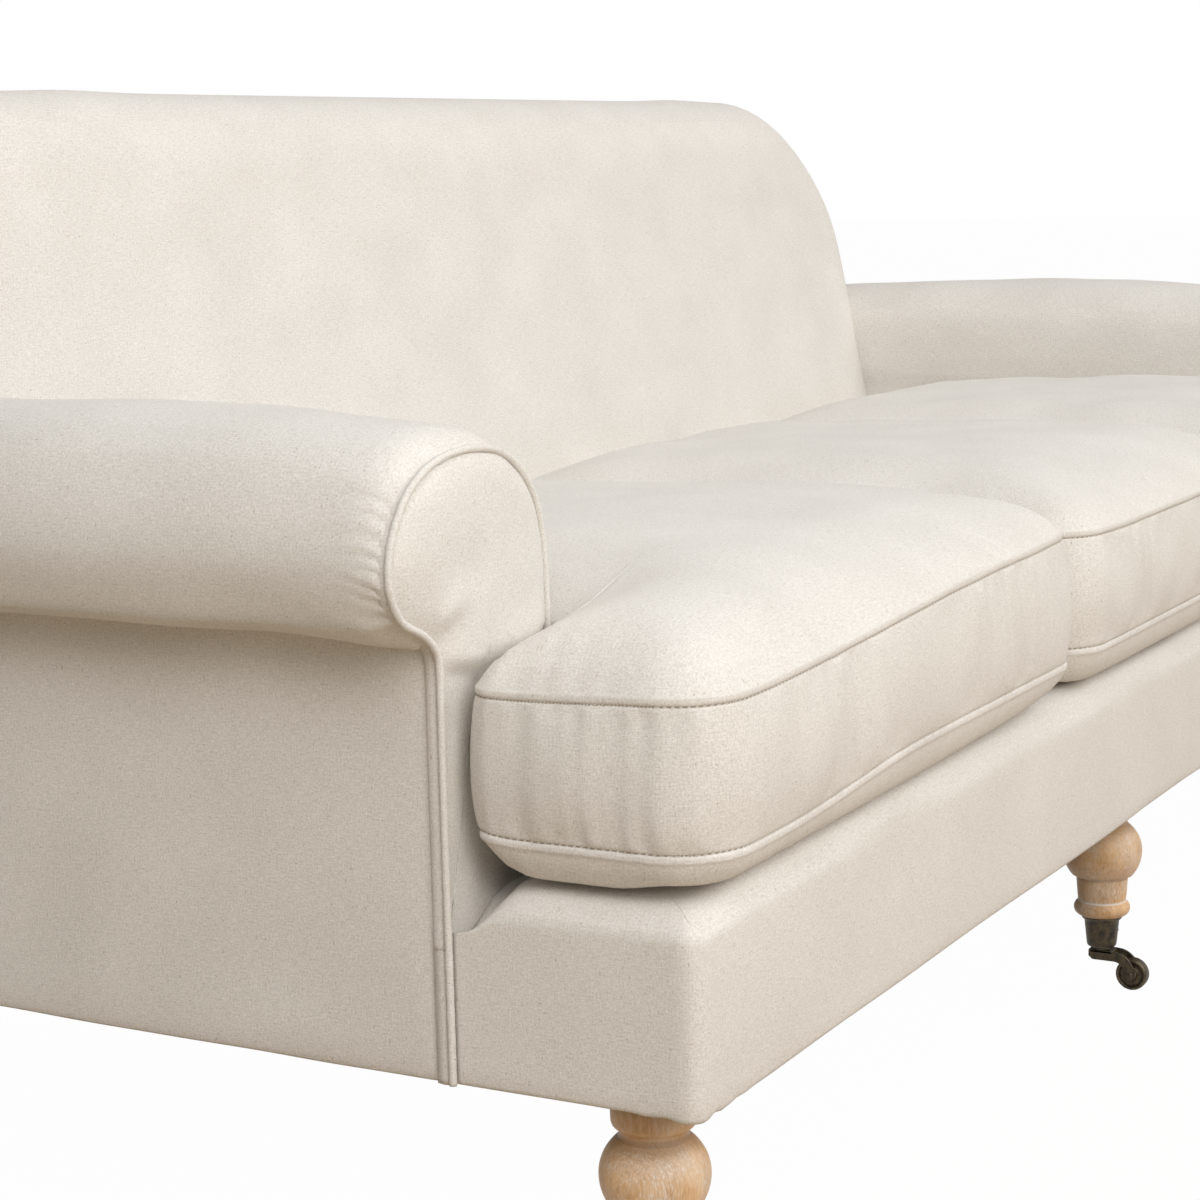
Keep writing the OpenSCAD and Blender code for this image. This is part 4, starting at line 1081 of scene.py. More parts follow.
def add_facing(side):
    """The padded facing on an arm's front, and the flat strip below it that is tucked in at the base."""
    outline = facing_outline()
    centre = np.array([0.058, 0.556])
    n = len(outline)
    shares = np.linspace(1, 0, 30)[1:-1]
    flat, known = panel_rings(outline, centre, shares, np.array([0.0, 0.001, 0.002, 0.0032, 0.0045]))
    rings = []
    back = FACING_BACK - 0.0005
    for t in (0.012, 0.003, 0.0):
        ring = outline + outline_normals(outline) * t
        rings.append(in_model(ring[:, 0], np.full(n, back if t else back - 0.003), ring[:, 1]))
    for ring, t in zip(flat, known):
        d = edge_distance(ring, outline) if t is None else np.full(n, t)
        u, z = ring[:, 0], ring[:, 1]
        proud = ease((z - 0.304) / 0.030)
        y = 0.1905 + 0.0016 * (1 - proud) + (0.0004 * ripple(ring, 0.05, 61) - facing_puff(u, z, d)) * proud
        rings.append(in_model(u, y, z))
    points = np.vstack(rings + [rings[-1].mean(0)[None], rings[0].mean(0)[None]])
    m = len(rings)
    faces = grid_faces(m, n, closed_cols=True)
    faces += [(m * n, (m - 1) * n + k, (m - 1) * n + (k + 1) % n) for k in range(n)]
    faces += [(m * n + 1, (k + 1) % n, k) for k in range(n)]
    strip_rows = []
    strip = ((-0.0045, 0.1955), (-0.0040, 0.1922), (0.002, 0.1914), (0.008, 0.1914), (0.0118, 0.1928),
             (0.0118, 0.2020), (-0.0030, 0.2020))
    strip_z = np.linspace(BASE_Z + 0.0005, DECK_LOW + 0.016, 24)
    for z in strip_z:
        for u, y in strip:
            strip_rows.append(in_model(u, y + 0.002 * ease((z - 0.306) / 0.012) * (y < 0.2), z))
    faces += tube_faces(len(strip_z), len(strip), start=len(points))
    points = np.vstack([points, strip_rows])
    if side == "right":
        points = mirrored(points)
    add_cover(f"facing_cover_{side}", points, faces, [f"arm_facing_{side}"])


def arm_section(y, base):
    """The arm cover's section at a depth: the welt's outline swollen upward and a little outward."""
    share = np.interp(y, SWELL_Y, SWELL_SHARE)
    u, z = base[:, 0].copy(), base[:, 1].copy()
    up = np.maximum(z - 0.540, 0) / 0.1063
    z = z + 0.0262 * share * up ** 0.85
    middle = 0.040
    grow = 0.05 * share * ease((z - 0.515) / 0.03)
    u = middle + (u - middle) * (1 + grow)
    u = np.minimum(u, ARM_T - 0.0005)
    sag = ease((y - 0.193) / 0.025) * np.exp(-((z - 0.5214) / 0.020) ** 2) * (z > 0.5214) * (u < 0.0)
    z = z - sag * (z - 0.5215)
    low = np.exp(-((u + 0.004) / 0.022) ** 2) * (z < 0.54) * (1 - ease((y - 0.20) / 0.12))
    return u, z - 0.006 * low * ease((y - 0.193) / 0.008)


def add_arm_roll(side):
    """Roll and inside of an arm as one cover, gathered onto the piping at its front. The photo's far roll
    is a little lower behind its front."""
    run = smoothed(spaced(WELT, 0.003), 2)
    start = int(np.argmin(np.abs(run[:, 0] + 0.0139) + np.abs(run[:, 1] - 0.5214)))
    base = np.vstack([[(0.011, 0.5245), (0.002, 0.5235)], run[start:]])
    base = base[base[:, 1] > 0.35]
    base = spaced(base, 0.0019)
    way = ways_along(base)
    out = np.stack([-way[:, 1], way[:, 0]], 1)
    along = lengths_along(base)
    near = [0.1915, 0.1925, 0.194, 0.196, 0.1985, 0.201, 0.204, 0.2075, 0.2115, 0.216, 0.221, 0.227, 0.234,
            0.242]
    depths = np.concatenate([near, np.arange(0.25, ARM_END, 0.0105), [ARM_END]])
    own = np.random.default_rng(70)
    gathers = [(0.055 + 0.0115 * k + own.uniform(-0.003, 0.003), own.uniform(0.0020, 0.0034),
                own.uniform(0.45, 1.0), own.uniform(0.014, 0.032)) for k in range(9)]
    gathers += [(own.uniform(0.19, 0.36), own.uniform(0.004, 0.007), own.uniform(0.10, 0.3),
                 own.uniform(0.008, 0.020)) for _ in range(8)]
    rows = []
    for y in depths:
        u, z = arm_section(y, base)
        behind = y - 0.193
        move = -CORD_R * 0.5 * math.exp(-(behind / 0.0030) ** 2) * np.ones(len(base))
        for at, wide, deep, long in gathers:
            drift = at + 0.20 * behind * (1 if at < 0.1 else -0.5)
            fade = math.exp(-behind / long) * min(behind / 0.003, 1)
            breadth = wide * (1 + 14 * behind)
            off = along - drift
            move -= 0.0029 * deep * np.exp(-(off / breadth) ** 2) * fade
            move += 0.0012 * deep * np.exp(-((off - 2.2 * breadth) / (1.6 * breadth)) ** 2) * fade
        spots = np.stack([along, np.full(len(base), y)], 1)
        move += 0.0007 * ripple(spots, 0.17, 71) * ease(behind / 0.05)
        move += 0.00035 * ripple(spots * [1, 0.5], 0.03, 72) * math.exp(-behind / 0.06)
        rows.append(in_model(u + out[:, 0] * move, np.full(len(base), y), z + out[:, 1] * move))
    rows = np.array(rows)
    n, m = rows.shape[:2]
    points = rows.reshape(-1, 3)
    if side == "right":
        points = mirrored(points)
        behind = ease((points[:, 1] + MID_Y - 0.20) / 0.05)
        points[:, 2] -= 0.010 * ease((points[:, 2] - 0.60) / 0.06) * behind
    nodes = [f"arm_roll_{side}", f"inside_arm_{side}"]
    add_cover(f"arm_cover_{side}", points, tube_faces(n, m), nodes)


def add_outside_arm(side):
    """The plain panel under an arm's roll, drawn tight with faint slack in it."""
    front = 0.1925
    ys = np.concatenate([[front, 0.194, 0.197, 0.202], np.linspace(0.21, REAR_Y - 0.004, 70),
                         [REAR_Y - 0.001]])
    zs = np.concatenate([[BASE_Z, BASE_Z + 0.0015], np.linspace(BASE_Z + 0.006, 0.510, 34), [0.5185, 0.5235]])
    y, z = (grid.ravel() for grid in np.meshgrid(ys, zs, indexing="ij"))
    edge = np.minimum(np.minimum(y - front, z - BASE_Z), 0.02)
    tuck = -0.004 * np.exp(-(y - front) / 0.0025) - 0.0015 * np.exp(-(z - BASE_Z) / 0.002)
    spots = np.stack([y - MID_Y, z], 1)
    wave = ripple(spots, 0.30, 81) * 0.0009 + ripple(spots, 0.11, 82) * 0.00035
    slack = 0.0022 * np.exp(-((z - BASE_Z - 0.02) / 0.03) ** 2 - ((y - 0.31) / 0.06) ** 2)
    x = -HALF_W - tuck - 0.0012 * (edge / 0.02) - (wave + slack) * ease((y - front) / 0.03)
    hem = 0.0004 * ripple(spots[:, :1], 0.25, 83) * (z < BASE_Z + 0.003)
    face = np.stack([x, y - MID_Y, z + hem], 1)
    behind = np.column_stack([np.full(len(x), -HALF_W + 0.0115), face[:, 1:]])
    points, faces = slab(face, behind, len(ys), len(zs))
    if side == "right":
        points = mirrored(points)
    add_cover(f"outside_arm_cover_{side}", points, faces, [f"outside_arm_{side}"])


# Back

BACK_HALF = 0.938
BACK_TOP = 0.910
CORNER_R = 0.208
BACK_LOW = 0.345
EVENING_ROUNDS = 400


def back_outline():
    """Closed front-view outline of the inside back, anticlockwise from its low left end, and its steps along
    the foot and up the sides: opposite sides have as many, so that a net of quads fits between them."""
    w, r, top = BACK_HALF, CORNER_R, BACK_TOP
    side = [(w - 0.004 * ease((0.66 - z) / 0.1), z) for z in np.linspace(BACK_LOW, top - r, 40)]
    corner = arc(w - r, top - r, r, 0, 90, 25)[1:]
    crest = [(x, top + 0.0025 * math.exp(-((x - 0.60) / 0.07) ** 2)) for x in np.linspace(w - r, 0, 30)[1:]]
    turn = len(side) + 11
    half = np.array(side + corner + crest)
    right, upper = half[:turn + 1], half[turn:]
    upper = np.vstack([upper, mirrored_flat(upper[:-1])[::-1]])
    foot = np.array([(-right[0, 0], BACK_LOW), (right[0, 0], BACK_LOW)])
    wide, tall = 150, 56
    left = mirrored_flat(right)[::-1]
    runs = [spread(foot, wide), spread(right, tall), spread(upper, wide), spread(left, tall)]
    return smoothed(np.vstack([run[:-1] for run in runs]), 3, closed=True), wide, tall


def mirrored_flat(points):
    return points * np.array([-1.0, 1.0])


def patch_between(rim, wide, tall):
    """A net of flat points within a four-sided rim, whose outer rows are the rim itself."""
    foot, right = rim[:wide + 1], rim[wide:wide + tall + 1]
    upper = rim[wide + tall:2 * wide + tall + 1][::-1]
    left = np.vstack([rim[2 * wide + tall:], rim[:1]])[::-1]
    u = np.linspace(0, 1, wide + 1)[None, :, None]
    v = np.linspace(0, 1, tall + 1)[:, None, None]
    net = (1 - v) * foot[None] + v * upper[None] + (1 - u) * left[:, None] + u * right[:, None]
    net -= (1 - v) * ((1 - u) * foot[0] + u * foot[-1]) + v * ((1 - u) * upper[0] + u * upper[-1])
    for _ in range(EVENING_ROUNDS):
        net[1:-1, 1:-1] = (net[:-2, 1:-1] + net[2:, 1:-1] + net[1:-1, :-2] + net[1:-1, 2:]) / 4
    return net


def add_back():
    """Tight inside back: leaning face, rounded ends and a round crest over the top rail."""
    outline, wide, tall = back_outline()
    inward = outline_normals(outline)
    n = len(outline)
    rear = REAR_Y
    reach = 0.060 + 0.013 * ease((outline[:, 1] - 0.75) / 0.14)
    reach *= 0.08 + 0.92 * ease((outline[:, 1] - 0.36) / 0.09)
    rings = []
    for a in np.linspace(-math.pi / 2, math.pi / 2, 25)[::-1]:
        inset = reach * (1 - abs(math.cos(a)))
        ring = outline + inward * inset[:, None]
        front = face_y(ring[:, 1])
        y = (rear + front) / 2 + (rear - front) / 2 * math.sin(a)
        rings.append(np.column_stack([ring[:, 0], y, ring[:, 1]]))
    points = np.vstack(rings)
    base = (len(rings) - 1) * n
    net = patch_between(rings[-1][:, [0, 2]], wide, tall)
    flat = net.reshape(-1, 2)
    d = edge_distance(flat, outline) - 0.06
    y = face_y(flat[:, 1]) - 0.004 * ease(d / 0.16)
    y += 0.0012 * ripple(flat, 0.35, 91) * ease(d / 0.05) + 0.0004 * ripple(flat, 0.09, 92) * ease(d / 0.02)
    place = np.full((tall + 1, wide + 1), -1)
    place[0, :] = np.arange(wide + 1)
    place[:, wide] = np.arange(wide, wide + tall + 1)
    place[tall, ::-1] = np.arange(wide + tall, 2 * wide + tall + 1)
    place[::-1, 0] = np.concatenate([np.arange(2 * wide + tall, n), [0]])
    place[place >= 0] += base
    fresh = np.argwhere(place < 0)
    place[place < 0] = len(points) + np.arange(len(fresh))
    kept = fresh[:, 0] * (wide + 1) + fresh[:, 1]
    points = np.vstack([points, np.column_stack([flat[kept, 0], y[kept], flat[kept, 1]])])
    points[:, 1] -= MID_Y
    faces = grid_faces(len(rings), n, closed_cols=True)
    faces += [(place[r, c], place[r, c + 1], place[r + 1, c + 1], place[r + 1, c])
              for r in range(tall) for c in range(wide)]
    add_cover("back_cover", points, faces + [tuple(range(n))[::-1]], ["back_pad"])


def add_outside_back():
    """The flat panel across the back's rear, from the hem to under the crest."""
    top = 0.8365
    right = [(HALF_W, BASE_Z, 0.004), (HALF_W, 0.5235, 0.004), (BACK_HALF, 0.5235, 0.006),
             (BACK_HALF, 0.70, 0.12), (BACK_HALF - 0.06, top, 0.02)]
    left = [(-x, z, r) for x, z, r in right[::-1]]
    outline = rounded_outline(left[-1:] + right + left[:-1], 0.008)
    n = len(outline)
    inward = outline_normals(outline)
    rings = []
    rear = 0.9296
    for inset, y in ((0.004, REAR_Y + 0.0006), (0.0, REAR_Y + 0.002), (0.0, 0.9275), (0.0012, 0.9288),
                     (0.004, rear)):
        ring = outline + inward * inset
        rings.append(np.column_stack([ring[:, 0], np.full(n, y), ring[:, 1]]))
    inner = outline + inward * 0.004
    centre = np.array([0.0, 0.46])
    for share in np.linspace(1, 0, 40)[1:-1]:
        ring = inner * share + centre * (1 - share)
        wave = np.minimum(0.0004 * ripple(ring, 0.4, 95), 0.0004)
        rings.append(np.column_stack([ring[:, 0], rear + wave, ring[:, 1]]))
    points = np.vstack(rings)
    points[:, 1] -= MID_Y
    add_cover("outside_back_cover", points, tube_faces(len(rings), n), ["outside_back"])


# Legs and casters


def turned_leg(name, profile, lime, x, y, turns=96):
    """A turned oak solid from (radius, height) points, each with its share of lime, below 0 for painted
    shade.
    """
    made = add_mesh(name, turned_points(profile, x, y, turns), tube_faces(len(profile), turns), OAK)
    face_out(made)
    layer = made.data.attributes.new("lime", "FLOAT", "POINT")
    layer.data.foreach_set("value", np.repeat(np.asarray(lime, np.float32), turns))
    return made


def leg_profile():
    """A front leg's profile from the spigot up, with the lime that each point holds, below 0 for painted
    shade in the cove under the collar.
    """
    bulb_z, bulb_r = 0.1419, 0.0395
    stem_top = 0.1155
    steps = [((0.0001, 0.0515), 0), ((0.0125, 0.0515), 0), ((0.0160, 0.0745), 0)]
    steps += [((0.0205, 0.0748), 0), ((0.0225, 0.0751), 0)]
    steps += [(p, 0) for p in arc(0.0203, 0.0823, 0.0077, -70, 58, 14)]
    steps += [((0.0240, 0.0896), 1.0), ((0.0238, 0.0905), 1.0), ((0.0238, 0.0913), 0.6)]
    steps += [((0.0241 + 0.0017 * t, 0.0922 + (stem_top - 0.0012 - 0.0922) * t), 0)
              for t in (0, *np.linspace(0.1, 1, 8))]
    steps += [((0.0252, stem_top - 0.0004), 0.9), ((0.0250, stem_top + 0.0004), 1.0),
              ((0.0258, stem_top + 0.0010), 0.8)]
    low = -math.degrees(math.asin((bulb_z - stem_top - 0.0016) / bulb_r))
    steps += [(p, 0) for p in arc(0, bulb_z, bulb_r, low, 0, 20)]
    # Below 0 on the bulb's top, where it meets the cove: painted shade.
    for rise in np.linspace(0, 0.0262, 16)[1:]:
        shade_depth = -0.5 * float(ease((rise - 0.018) / 0.008))
        steps.append(((bulb_r * math.sqrt(1 - (rise / 0.0355) ** 2), bulb_z + rise), shade_depth))
    # Below 0 round the cove under the collar: painted shade.
    steps += [((0.0257, 0.1690), -1.0), ((0.0250, 0.1702), -1.0), ((0.0247, 0.1716), -0.9),
              ((0.0247, 0.1732), -0.5), ((0.0250, 0.1746), -0.2)]
    top = [(0.0257, 0.1755), (0.0271, 0.1763), (0.0286, 0.1773), (0.0296, 0.1786), (0.0302, 0.1802),
           (0.0304, 0.1824), (0.0305, 0.1870), (0.0305, 0.2088), (0.0001, 0.2088)]
    return steps + [(p, 0) for p in top]


def add_front_leg(side, x):
    """A turned front leg on its spigot."""
    steps = leg_profile()
    profile, lime = zip(*steps)
    leg = turned_leg(f"turned_leg_{side}", profile, lime, x, FRONT_LEG_Y - MID_Y)
    ride_as(leg, "sofa", [f"front_leg_{side}"])


def add_rear_leg(side, x):
    """Square leg, tapered and raked to the rear, its edges eased."""
    rings = []
    for z, eased in ((0.0, 0.0015), (0.0012, 0), (0.05, 0), (0.10, 0), (0.15, 0), (0.2078, 0),
                     (0.2088, 0.0012)):
        t = z / 0.209
        half = 0.016 + 0.009 * t - eased
        y = REAR_LEG_Y + 0.025 * (1 - t) - MID_Y
        r = 0.0022
        for cx, cy, turn in ((1, -1, -90), (1, 1, 0), (-1, 1, 90), (-1, -1, 180)):
            rounded = arc(x + cx * (half - r), y + cy * (half - r), r, turn, turn + 90, 5)
            rings += [(*spot, z) for spot in rounded]
    leg = add_mesh(f"raked_leg_{side}", rings, tube_faces(len(rings) // 20, 20), OAK)
    face_out(leg)
    leg.data.attributes.new("lime", "FLOAT", "POINT")
    ride_as(leg, "sofa", [f"rear_leg_{side}"])


def add_cup(side, x):
    """Brass cup with a thin rim, and two small near-black pieces of painted shade for its screw holes toward
    the front.
    """
    y = FRONT_LEG_Y - MID_Y
    profile = [(0.0041, 0.0420), (0.0125, 0.0419), (0.0139, 0.0424), (0.0147, 0.0436), (0.0150, 0.0455)]
    profile += [(0.0150 + 0.0024 * t, 0.0455 + 0.0240 * t) for t in np.linspace(0.1, 1, 9)]
    profile += [(0.0176, 0.0700), (0.0186, 0.0704), (0.0196, 0.0711), (0.0202, 0.0722), (0.0203, 0.0735),
                (0.0198, 0.0744), (0.0188, 0.0747), (0.0166, 0.0746), (0.0150, 0.0700), (0.0132, 0.0450),
                (0.0041, 0.0445)]
    turns = 64
    faces = grid_faces(len(profile), turns, closed_rows=True, closed_cols=True)
    cup = add_mesh(f"cup_{side}", turned_points(profile, x, y, turns), faces, BRASS)
    face_out(cup)
    ride_as(cup, "sofa", [f"caster_cup_{side}"])
    # Painted shade: each screw hole is a small near-black piece on the cup's wall, with no hole cut.
    for i, angle in enumerate((-122, -58)):
        a = math.radians(angle)
        way = np.array([math.cos(a), math.sin(a), 0.10])
        way /= np.linalg.norm(way)
        middle = np.array([x, y, 0.0580]) + 0.0163 * np.array([math.cos(a), math.sin(a), 0])
        side_way = np.cross(way, (0, 0, 1))
        side_way /= np.linalg.norm(side_way)
        up = np.cross(side_way, way)
        rings = []
        for r, out in ((0.0001, -0.0006), (0.0012, -0.0004), (0.0015, 0.0004), (0.0019, 0.00045),
                       (0.0020, 0.0001), (0.0001, -0.0010)):
            rings += [middle + way * out + r * (math.cos(t) * side_way + math.sin(t) * up)
                      for t in np.linspace(0, 2 * math.pi, 17)[:-1]]
        faces = grid_faces(6, 16, closed_rows=True, closed_cols=True)
        hole_shade = add_mesh(f"cup_hole_shade_{side}_{i + 1}", rings, faces, HOLE_SHADE)
        face_out(hole_shade)
        ride_as(hole_shade, "sofa", [])


FORK_TOP = 0.0385
FORK_H = 0.010
WHEEL_R = 0.016
WHEEL_W = 0.012
TRAIL = 0.0324
FORK_TAIL = 0.011
CHEEK_IN = 0.0066
CHEEK_T = 0.0025
AXLE_R = 0.0025


def cheek_outline():
    """Side view of a fork's cheek, ahead of its pin: a bar that bends down to a round eye at the axle."""
    bend_r = FORK_TOP - WHEEL_R
    bend = TRAIL - bend_r + FORK_H / 2
    eye = 0.0052
    over = arc(bend, WHEEL_R, bend_r, 90, 12, 16)
    eye_round = arc(TRAIL, WHEEL_R, eye, 15, -170, 18)
    under = arc(bend, WHEEL_R, bend_r - FORK_H, 20, 90, 12)
    tail = [(-FORK_TAIL + 0.004, FORK_TOP - FORK_H), (-FORK_TAIL, FORK_TOP - FORK_H + 0.0035),
            (-FORK_TAIL, FORK_TOP - 0.0006), (-FORK_TAIL + 0.0006, FORK_TOP)]
    return spaced(np.array(over + eye_round + under + tail), 0.0007, closed=True)[::-1]


def bevelled_plate(outline, low, high, round_in):
    """Rings of a plate with eased edges: flat outline, and places across it."""
    inward = outline_normals(outline)
    ahead = np.roll(outline, -1, 0)
    flip = np.sign(np.sum(outline[:, 0] * ahead[:, 1] - ahead[:, 0] * outline[:, 1]))
    steps = [(2.2, low), (1.0, low), (0.3, low + 0.3 * round_in), (0.0, low + round_in),
             (0.0, high - round_in), (0.3, high - 0.3 * round_in), (1.0, high), (2.2, high)]
    return [(outline + flip * inward * inset * round_in, place) for inset, place in steps]


def add_fork(side, x):
    """Caster fork: two comma-shaped cheeks under a joining plate, with the pin's head on it."""
    y0 = FRONT_LEG_Y - MID_Y
    outline = cheek_outline()
    points, faces = [], []
    for sign in (-1, 1):
        rings = bevelled_plate(outline, CHEEK_IN, CHEEK_IN + CHEEK_T, 0.0005)
        faces += tube_faces(len(rings), len(outline), start=len(points))
        for ring, place in rings:
            points += [(x + sign * place, y0 - t, z) for t, z in ring]
    outer = CHEEK_IN + CHEEK_T
    front = -0.0140
    plate = rounded_outline([(-outer, front, 0.0006), (outer, front, 0.0006), (outer, FORK_TAIL, 0.0012),
                             (-outer, FORK_TAIL, 0.0012)], 0.0008)
    rings = bevelled_plate(plate, FORK_TOP - 0.0025, FORK_TOP + 0.0002, 0.0004)
    faces += tube_faces(len(rings), len(plate), start=len(points))
    for ring, place in rings:
        points += [(x + a, y0 + b, place) for a, b in ring]
    pin = [(0.0001, FORK_TOP - 0.0045), (0.0050, FORK_TOP - 0.0045), (0.0056, FORK_TOP - 0.0038),
           (0.0058, FORK_TOP - 0.0020), (0.0082, FORK_TOP - 0.0005), (0.0084, FORK_TOP + 0.0012),
           (0.0070, 0.0418), (0.0036, 0.0420), (0.0036, 0.0478), (0.0001, 0.0478)]
    turns = 32
    faces += tube_faces(len(pin), turns, start=len(points))
    points += turned_points(pin, x, y0, turns)
    fork = add_mesh(f"fork_{side}", points, faces, BRASS)
    face_out(fork)
    ride_as(fork, f"caster_{side}", [f"caster_fork_{side}"])


def turned_across(name, half, x, turns=56, ring=False):
    """A brass solid turned about the wheel's axle, from (radius, place across) points of its left half."""
    y, z = FRONT_LEG_Y - MID_Y - TRAIL, WHEEL_R
    profile = half + [(r, -across) for r, across in half[::-1]]
    upright = turned_points(profile, y, z, turns)
    points = [(x + across, *spot) for *spot, across in upright]
    faces = tube_faces(len(profile), turns)
    if ring:
        faces = grid_faces(len(profile), turns, closed_rows=True, closed_cols=True)
    made = add_mesh(name, points, faces, BRASS)
    face_out(made)
    return made


def add_wheel(side, x):
    """Brass wheel: a rounded tread, a dished web and a hub, bored for the axle."""
    half = WHEEL_W / 2
    one = [(WHEEL_R, -0.0030), (WHEEL_R - 0.0001, -0.0048), (WHEEL_R - 0.0008, -half + 0.0002),
           (WHEEL_R - 0.0018, -half), (WHEEL_R - 0.0030, -half + 0.0002), (WHEEL_R - 0.0036, -half + 0.0010),
           (WHEEL_R - 0.0040, -0.0026), (0.0105, -0.0020), (0.0075, -0.0022), (0.0062, -0.0030),
           (0.0056, -0.0052), (0.0050, -half + 0.0001), (0.0031, -half + 0.0001)]
    wheel = turned_across(f"wheel_{side}", one, x, ring=True)
    ride_as(wheel, f"wheel_{side}", [f"caster_wheel_{side}"])


def add_axle(side, x):
    """Axle with a riveted head at each end."""
    out = CHEEK_IN + CHEEK_T
    end = [(0.0001, -out - 0.0014), (0.0014, -out - 0.0013), (0.0026, -out - 0.0009),
           (0.0031, -out - 0.0003), (0.0031, -out), (AXLE_R, -out), (AXLE_R, -0.002)]
    axle = turned_across(f"axle_{side}", end, x, 32)
    ride_as(axle, f"caster_{side}", [f"caster_axle_{side}"])


# The CAD nodes that stay, by material
CADS = {
    TIMBER: ["front_rail", "back_rail", "end_rail_left", "end_rail_right", "seat_stretchers", "leg_blocks",
             "back_post_left", "back_post_centre", "back_post_right", "back_top_rail", "back_lower_rail",
             "arm_stump_left", "arm_stump_right", "arm_top_rail_left", "arm_top_rail_right",
             "arm_stay_rails"],
    STEEL: ["seat_springs", "leg_bolts"],
    WEBBING: ["back_webbing"],
}


def dress_nodes():
    """Materials for the CAD nodes that stay."""
    for material, names in CADS.items():
        for name in names:
            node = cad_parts[name]
            node.data.materials.clear()
            node.data.materials.append(material)


# Stage

WORLD_LIGHT = 0.28
FLOOR_TONE = (0.42, 0.32, 0.21)
FLOOR_SIZE = 30.0


def add_camera():
    """The photograph's camera."""
    yaw, pitch, roll = math.radians(60.82), math.radians(9.31), math.radians(-1.37)
    ahead = Vector((math.sin(yaw) * math.cos(pitch), math.cos(yaw) * math.cos(pitch), -math.sin(pitch)))
    level = Vector((math.cos(yaw), -math.sin(yaw), 0))
    above = level.cross(ahead)
    right = math.cos(roll) * level + math.sin(roll) * above
    up = -math.sin(roll) * level + math.cos(roll) * above
    data = bpy.data.cameras.new("camera")
    data.lens = 80.45
    data.sensor_width = 36
    data.clip_end = 100
    camera = bpy.data.objects.new("camera", data)
    turn = Matrix((right, up, -ahead)).transposed().to_4x4()
    camera.matrix_world = Matrix.Translation((-2.5324, -1.2298, 0.8377)) @ turn
    bpy.context.scene.collection.objects.link(camera)
    bpy.context.scene.camera = camera


def white_where_seen(shader):
    """The floor shows white to the camera and in reflections, and takes light plainly otherwise."""
    path = shader.node("ShaderNodeLightPath")
    through = shader.math("MAXIMUM", path.outputs["Is Glossy Ray"], path.outputs["Is Transmission Ray"])
    seen = shader.math("MAXIMUM", path.outputs["Is Camera Ray"], through)
    glow = shader.node("ShaderNodeEmission")
    glow.inputs["Color"].default_value = rgb(1, 1, 1)
    glow.inputs["Strength"].default_value = 1.0
    mix = shader.node("ShaderNodeMixShader")
    shader.link(shader.math("MULTIPLY", seen, 0.985), mix.inputs[0])
    shader.link(shader.surface.outputs[0], mix.inputs[1])
    shader.link(glow.outputs[0], mix.inputs[2])
    shader.link(mix.outputs[0], shader.tree.nodes["Material Output"].inputs["Surface"])


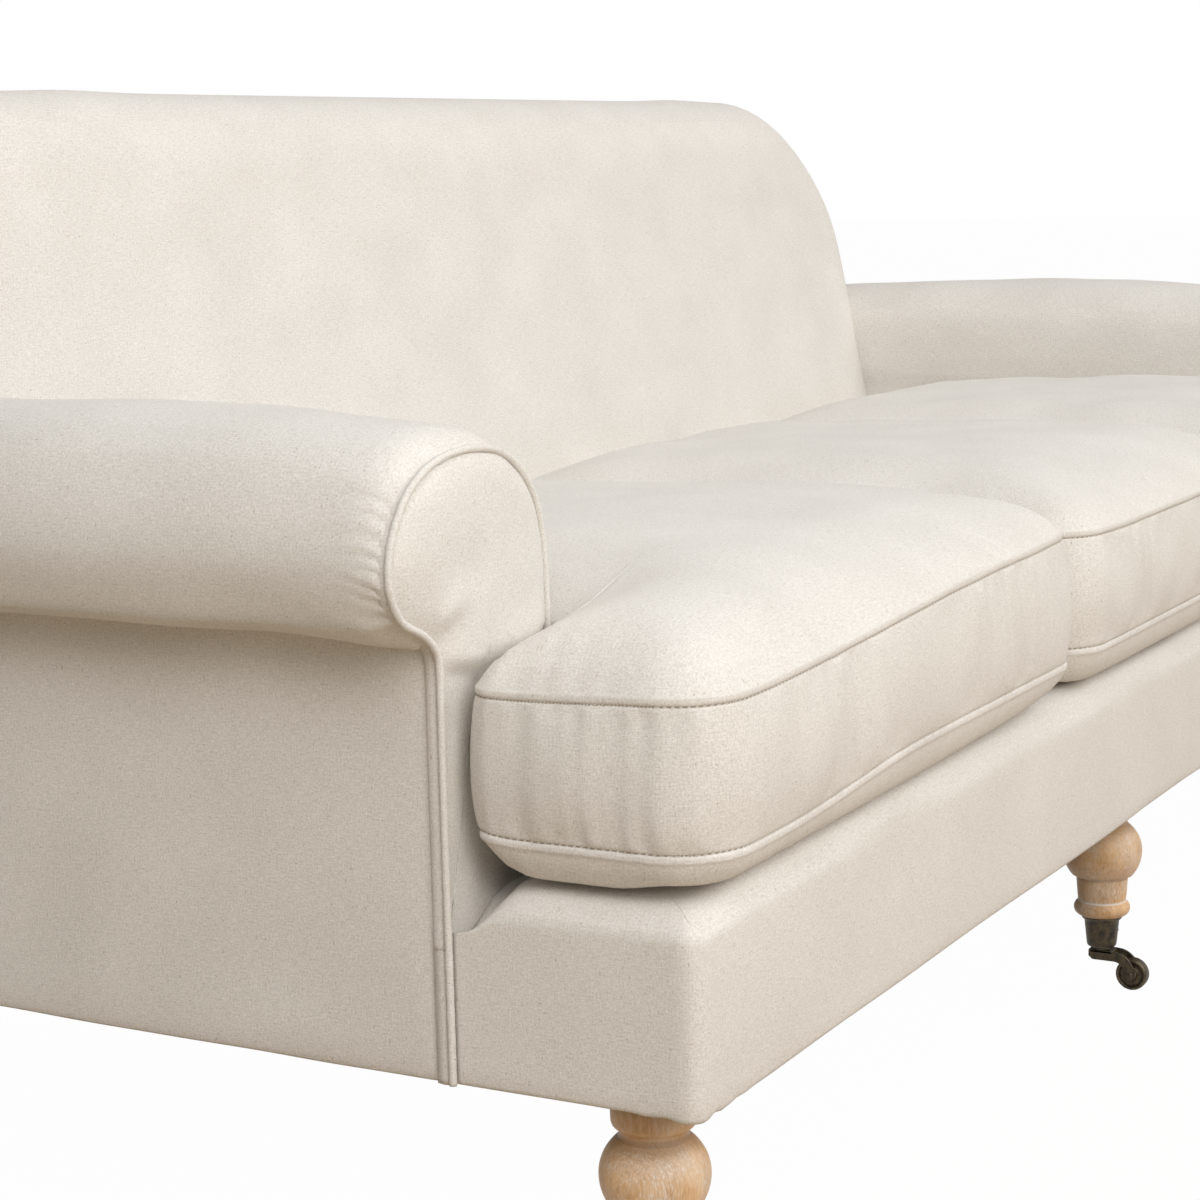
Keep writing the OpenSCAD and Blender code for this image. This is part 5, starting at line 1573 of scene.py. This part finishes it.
def add_stage():
    """A plain pale floor and an even white world."""
    shader = Shader("floor")
    shader.surface.inputs["Base Color"].default_value = rgb(*FLOOR_TONE)
    shader.surface.inputs["Roughness"].default_value = 0.9
    white_where_seen(shader)
    corners = [(a * FLOOR_SIZE, b * FLOOR_SIZE, -0.0005) for a, b in ((-1, -1), (1, -1), (1, 1), (-1, 1))]
    add_mesh("floor", corners, [(0, 1, 2, 3)], shader.material, smooth=False)
    world = bpy.data.worlds.new("studio")
    bpy.context.scene.world = world
    world.use_nodes = True
    tree = world.node_tree
    ground = tree.nodes["Background"]
    ground.inputs["Color"].default_value = rgb(1.0, 0.985, 0.965)
    ground.inputs["Strength"].default_value = WORLD_LIGHT
    white = tree.nodes.new("ShaderNodeBackground")
    white.inputs["Color"].default_value = rgb(1, 1, 1)
    white.inputs["Strength"].default_value = 1.0
    path = tree.nodes.new("ShaderNodeLightPath")
    seen = tree.nodes.new("ShaderNodeMath")
    seen.operation = "MAXIMUM"
    tree.links.new(path.outputs["Is Camera Ray"], seen.inputs[0])
    tree.links.new(path.outputs["Is Glossy Ray"], seen.inputs[1])
    mix = tree.nodes.new("ShaderNodeMixShader")
    tree.links.new(seen.outputs[0], mix.inputs[0])
    tree.links.new(ground.outputs[0], mix.inputs[1])
    tree.links.new(white.outputs[0], mix.inputs[2])
    tree.links.new(mix.outputs[0], tree.nodes["World Output"].inputs["Surface"])


def add_lamp(name, place, aim, size, power):
    """A round soft lamp turned toward a point."""
    data = bpy.data.lights.new(name, "AREA")
    data.shape = "DISK"
    data.size = size
    data.energy = power
    lamp = bpy.data.objects.new(name, data)
    lamp.location = place
    lamp.rotation_euler = (Vector(aim) - Vector(place)).to_track_quat("-Z", "Y").to_euler()
    bpy.context.scene.collection.objects.link(lamp)


def add_lights():
    """A broad key from the front right, a weak lamp above, a fill from the front left and one high left."""
    add_lamp("key", (1.7, -4.0, 3.3), (0.2, 0.0, 0.4), 3.4, 110)
    add_lamp("top", (1.3, -0.6, 4.1), (0.5, 0.0, 0.4), 2.8, 22)
    add_lamp("front_fill", (-3.0, -3.4, 2.6), (-0.6, 0.0, 0.4), 2.6, 90)
    add_lamp("side", (-3.3, -1.3, 3.4), (-0.9, -0.1, 0.4), 2.6, 50)


def main():
    """Builds the scene."""
    bpy.context.scene.view_settings.view_transform = "Standard"
    add_camera()
    add_stage()
    add_lights()
    dress_nodes()
    for side in ("left", "centre", "right"):
        add_cushion(side)
        add_core(side)
    add_border()
    add_deck()
    add_dust_cover()
    for side in ("left", "right"):
        add_piping(side)
        add_facing(side)
        add_arm_roll(side)
        add_outside_arm(side)
    add_back()
    add_outside_back()
    for side, x in (("left", -LEG_X), ("centre", 0.0), ("right", LEG_X)):
        add_front_leg(side, x)
        add_rear_leg(side, x)
        add_cup(side, x)
        add_fork(side, x)
        add_axle(side, x)
        add_wheel(side, x)


main()
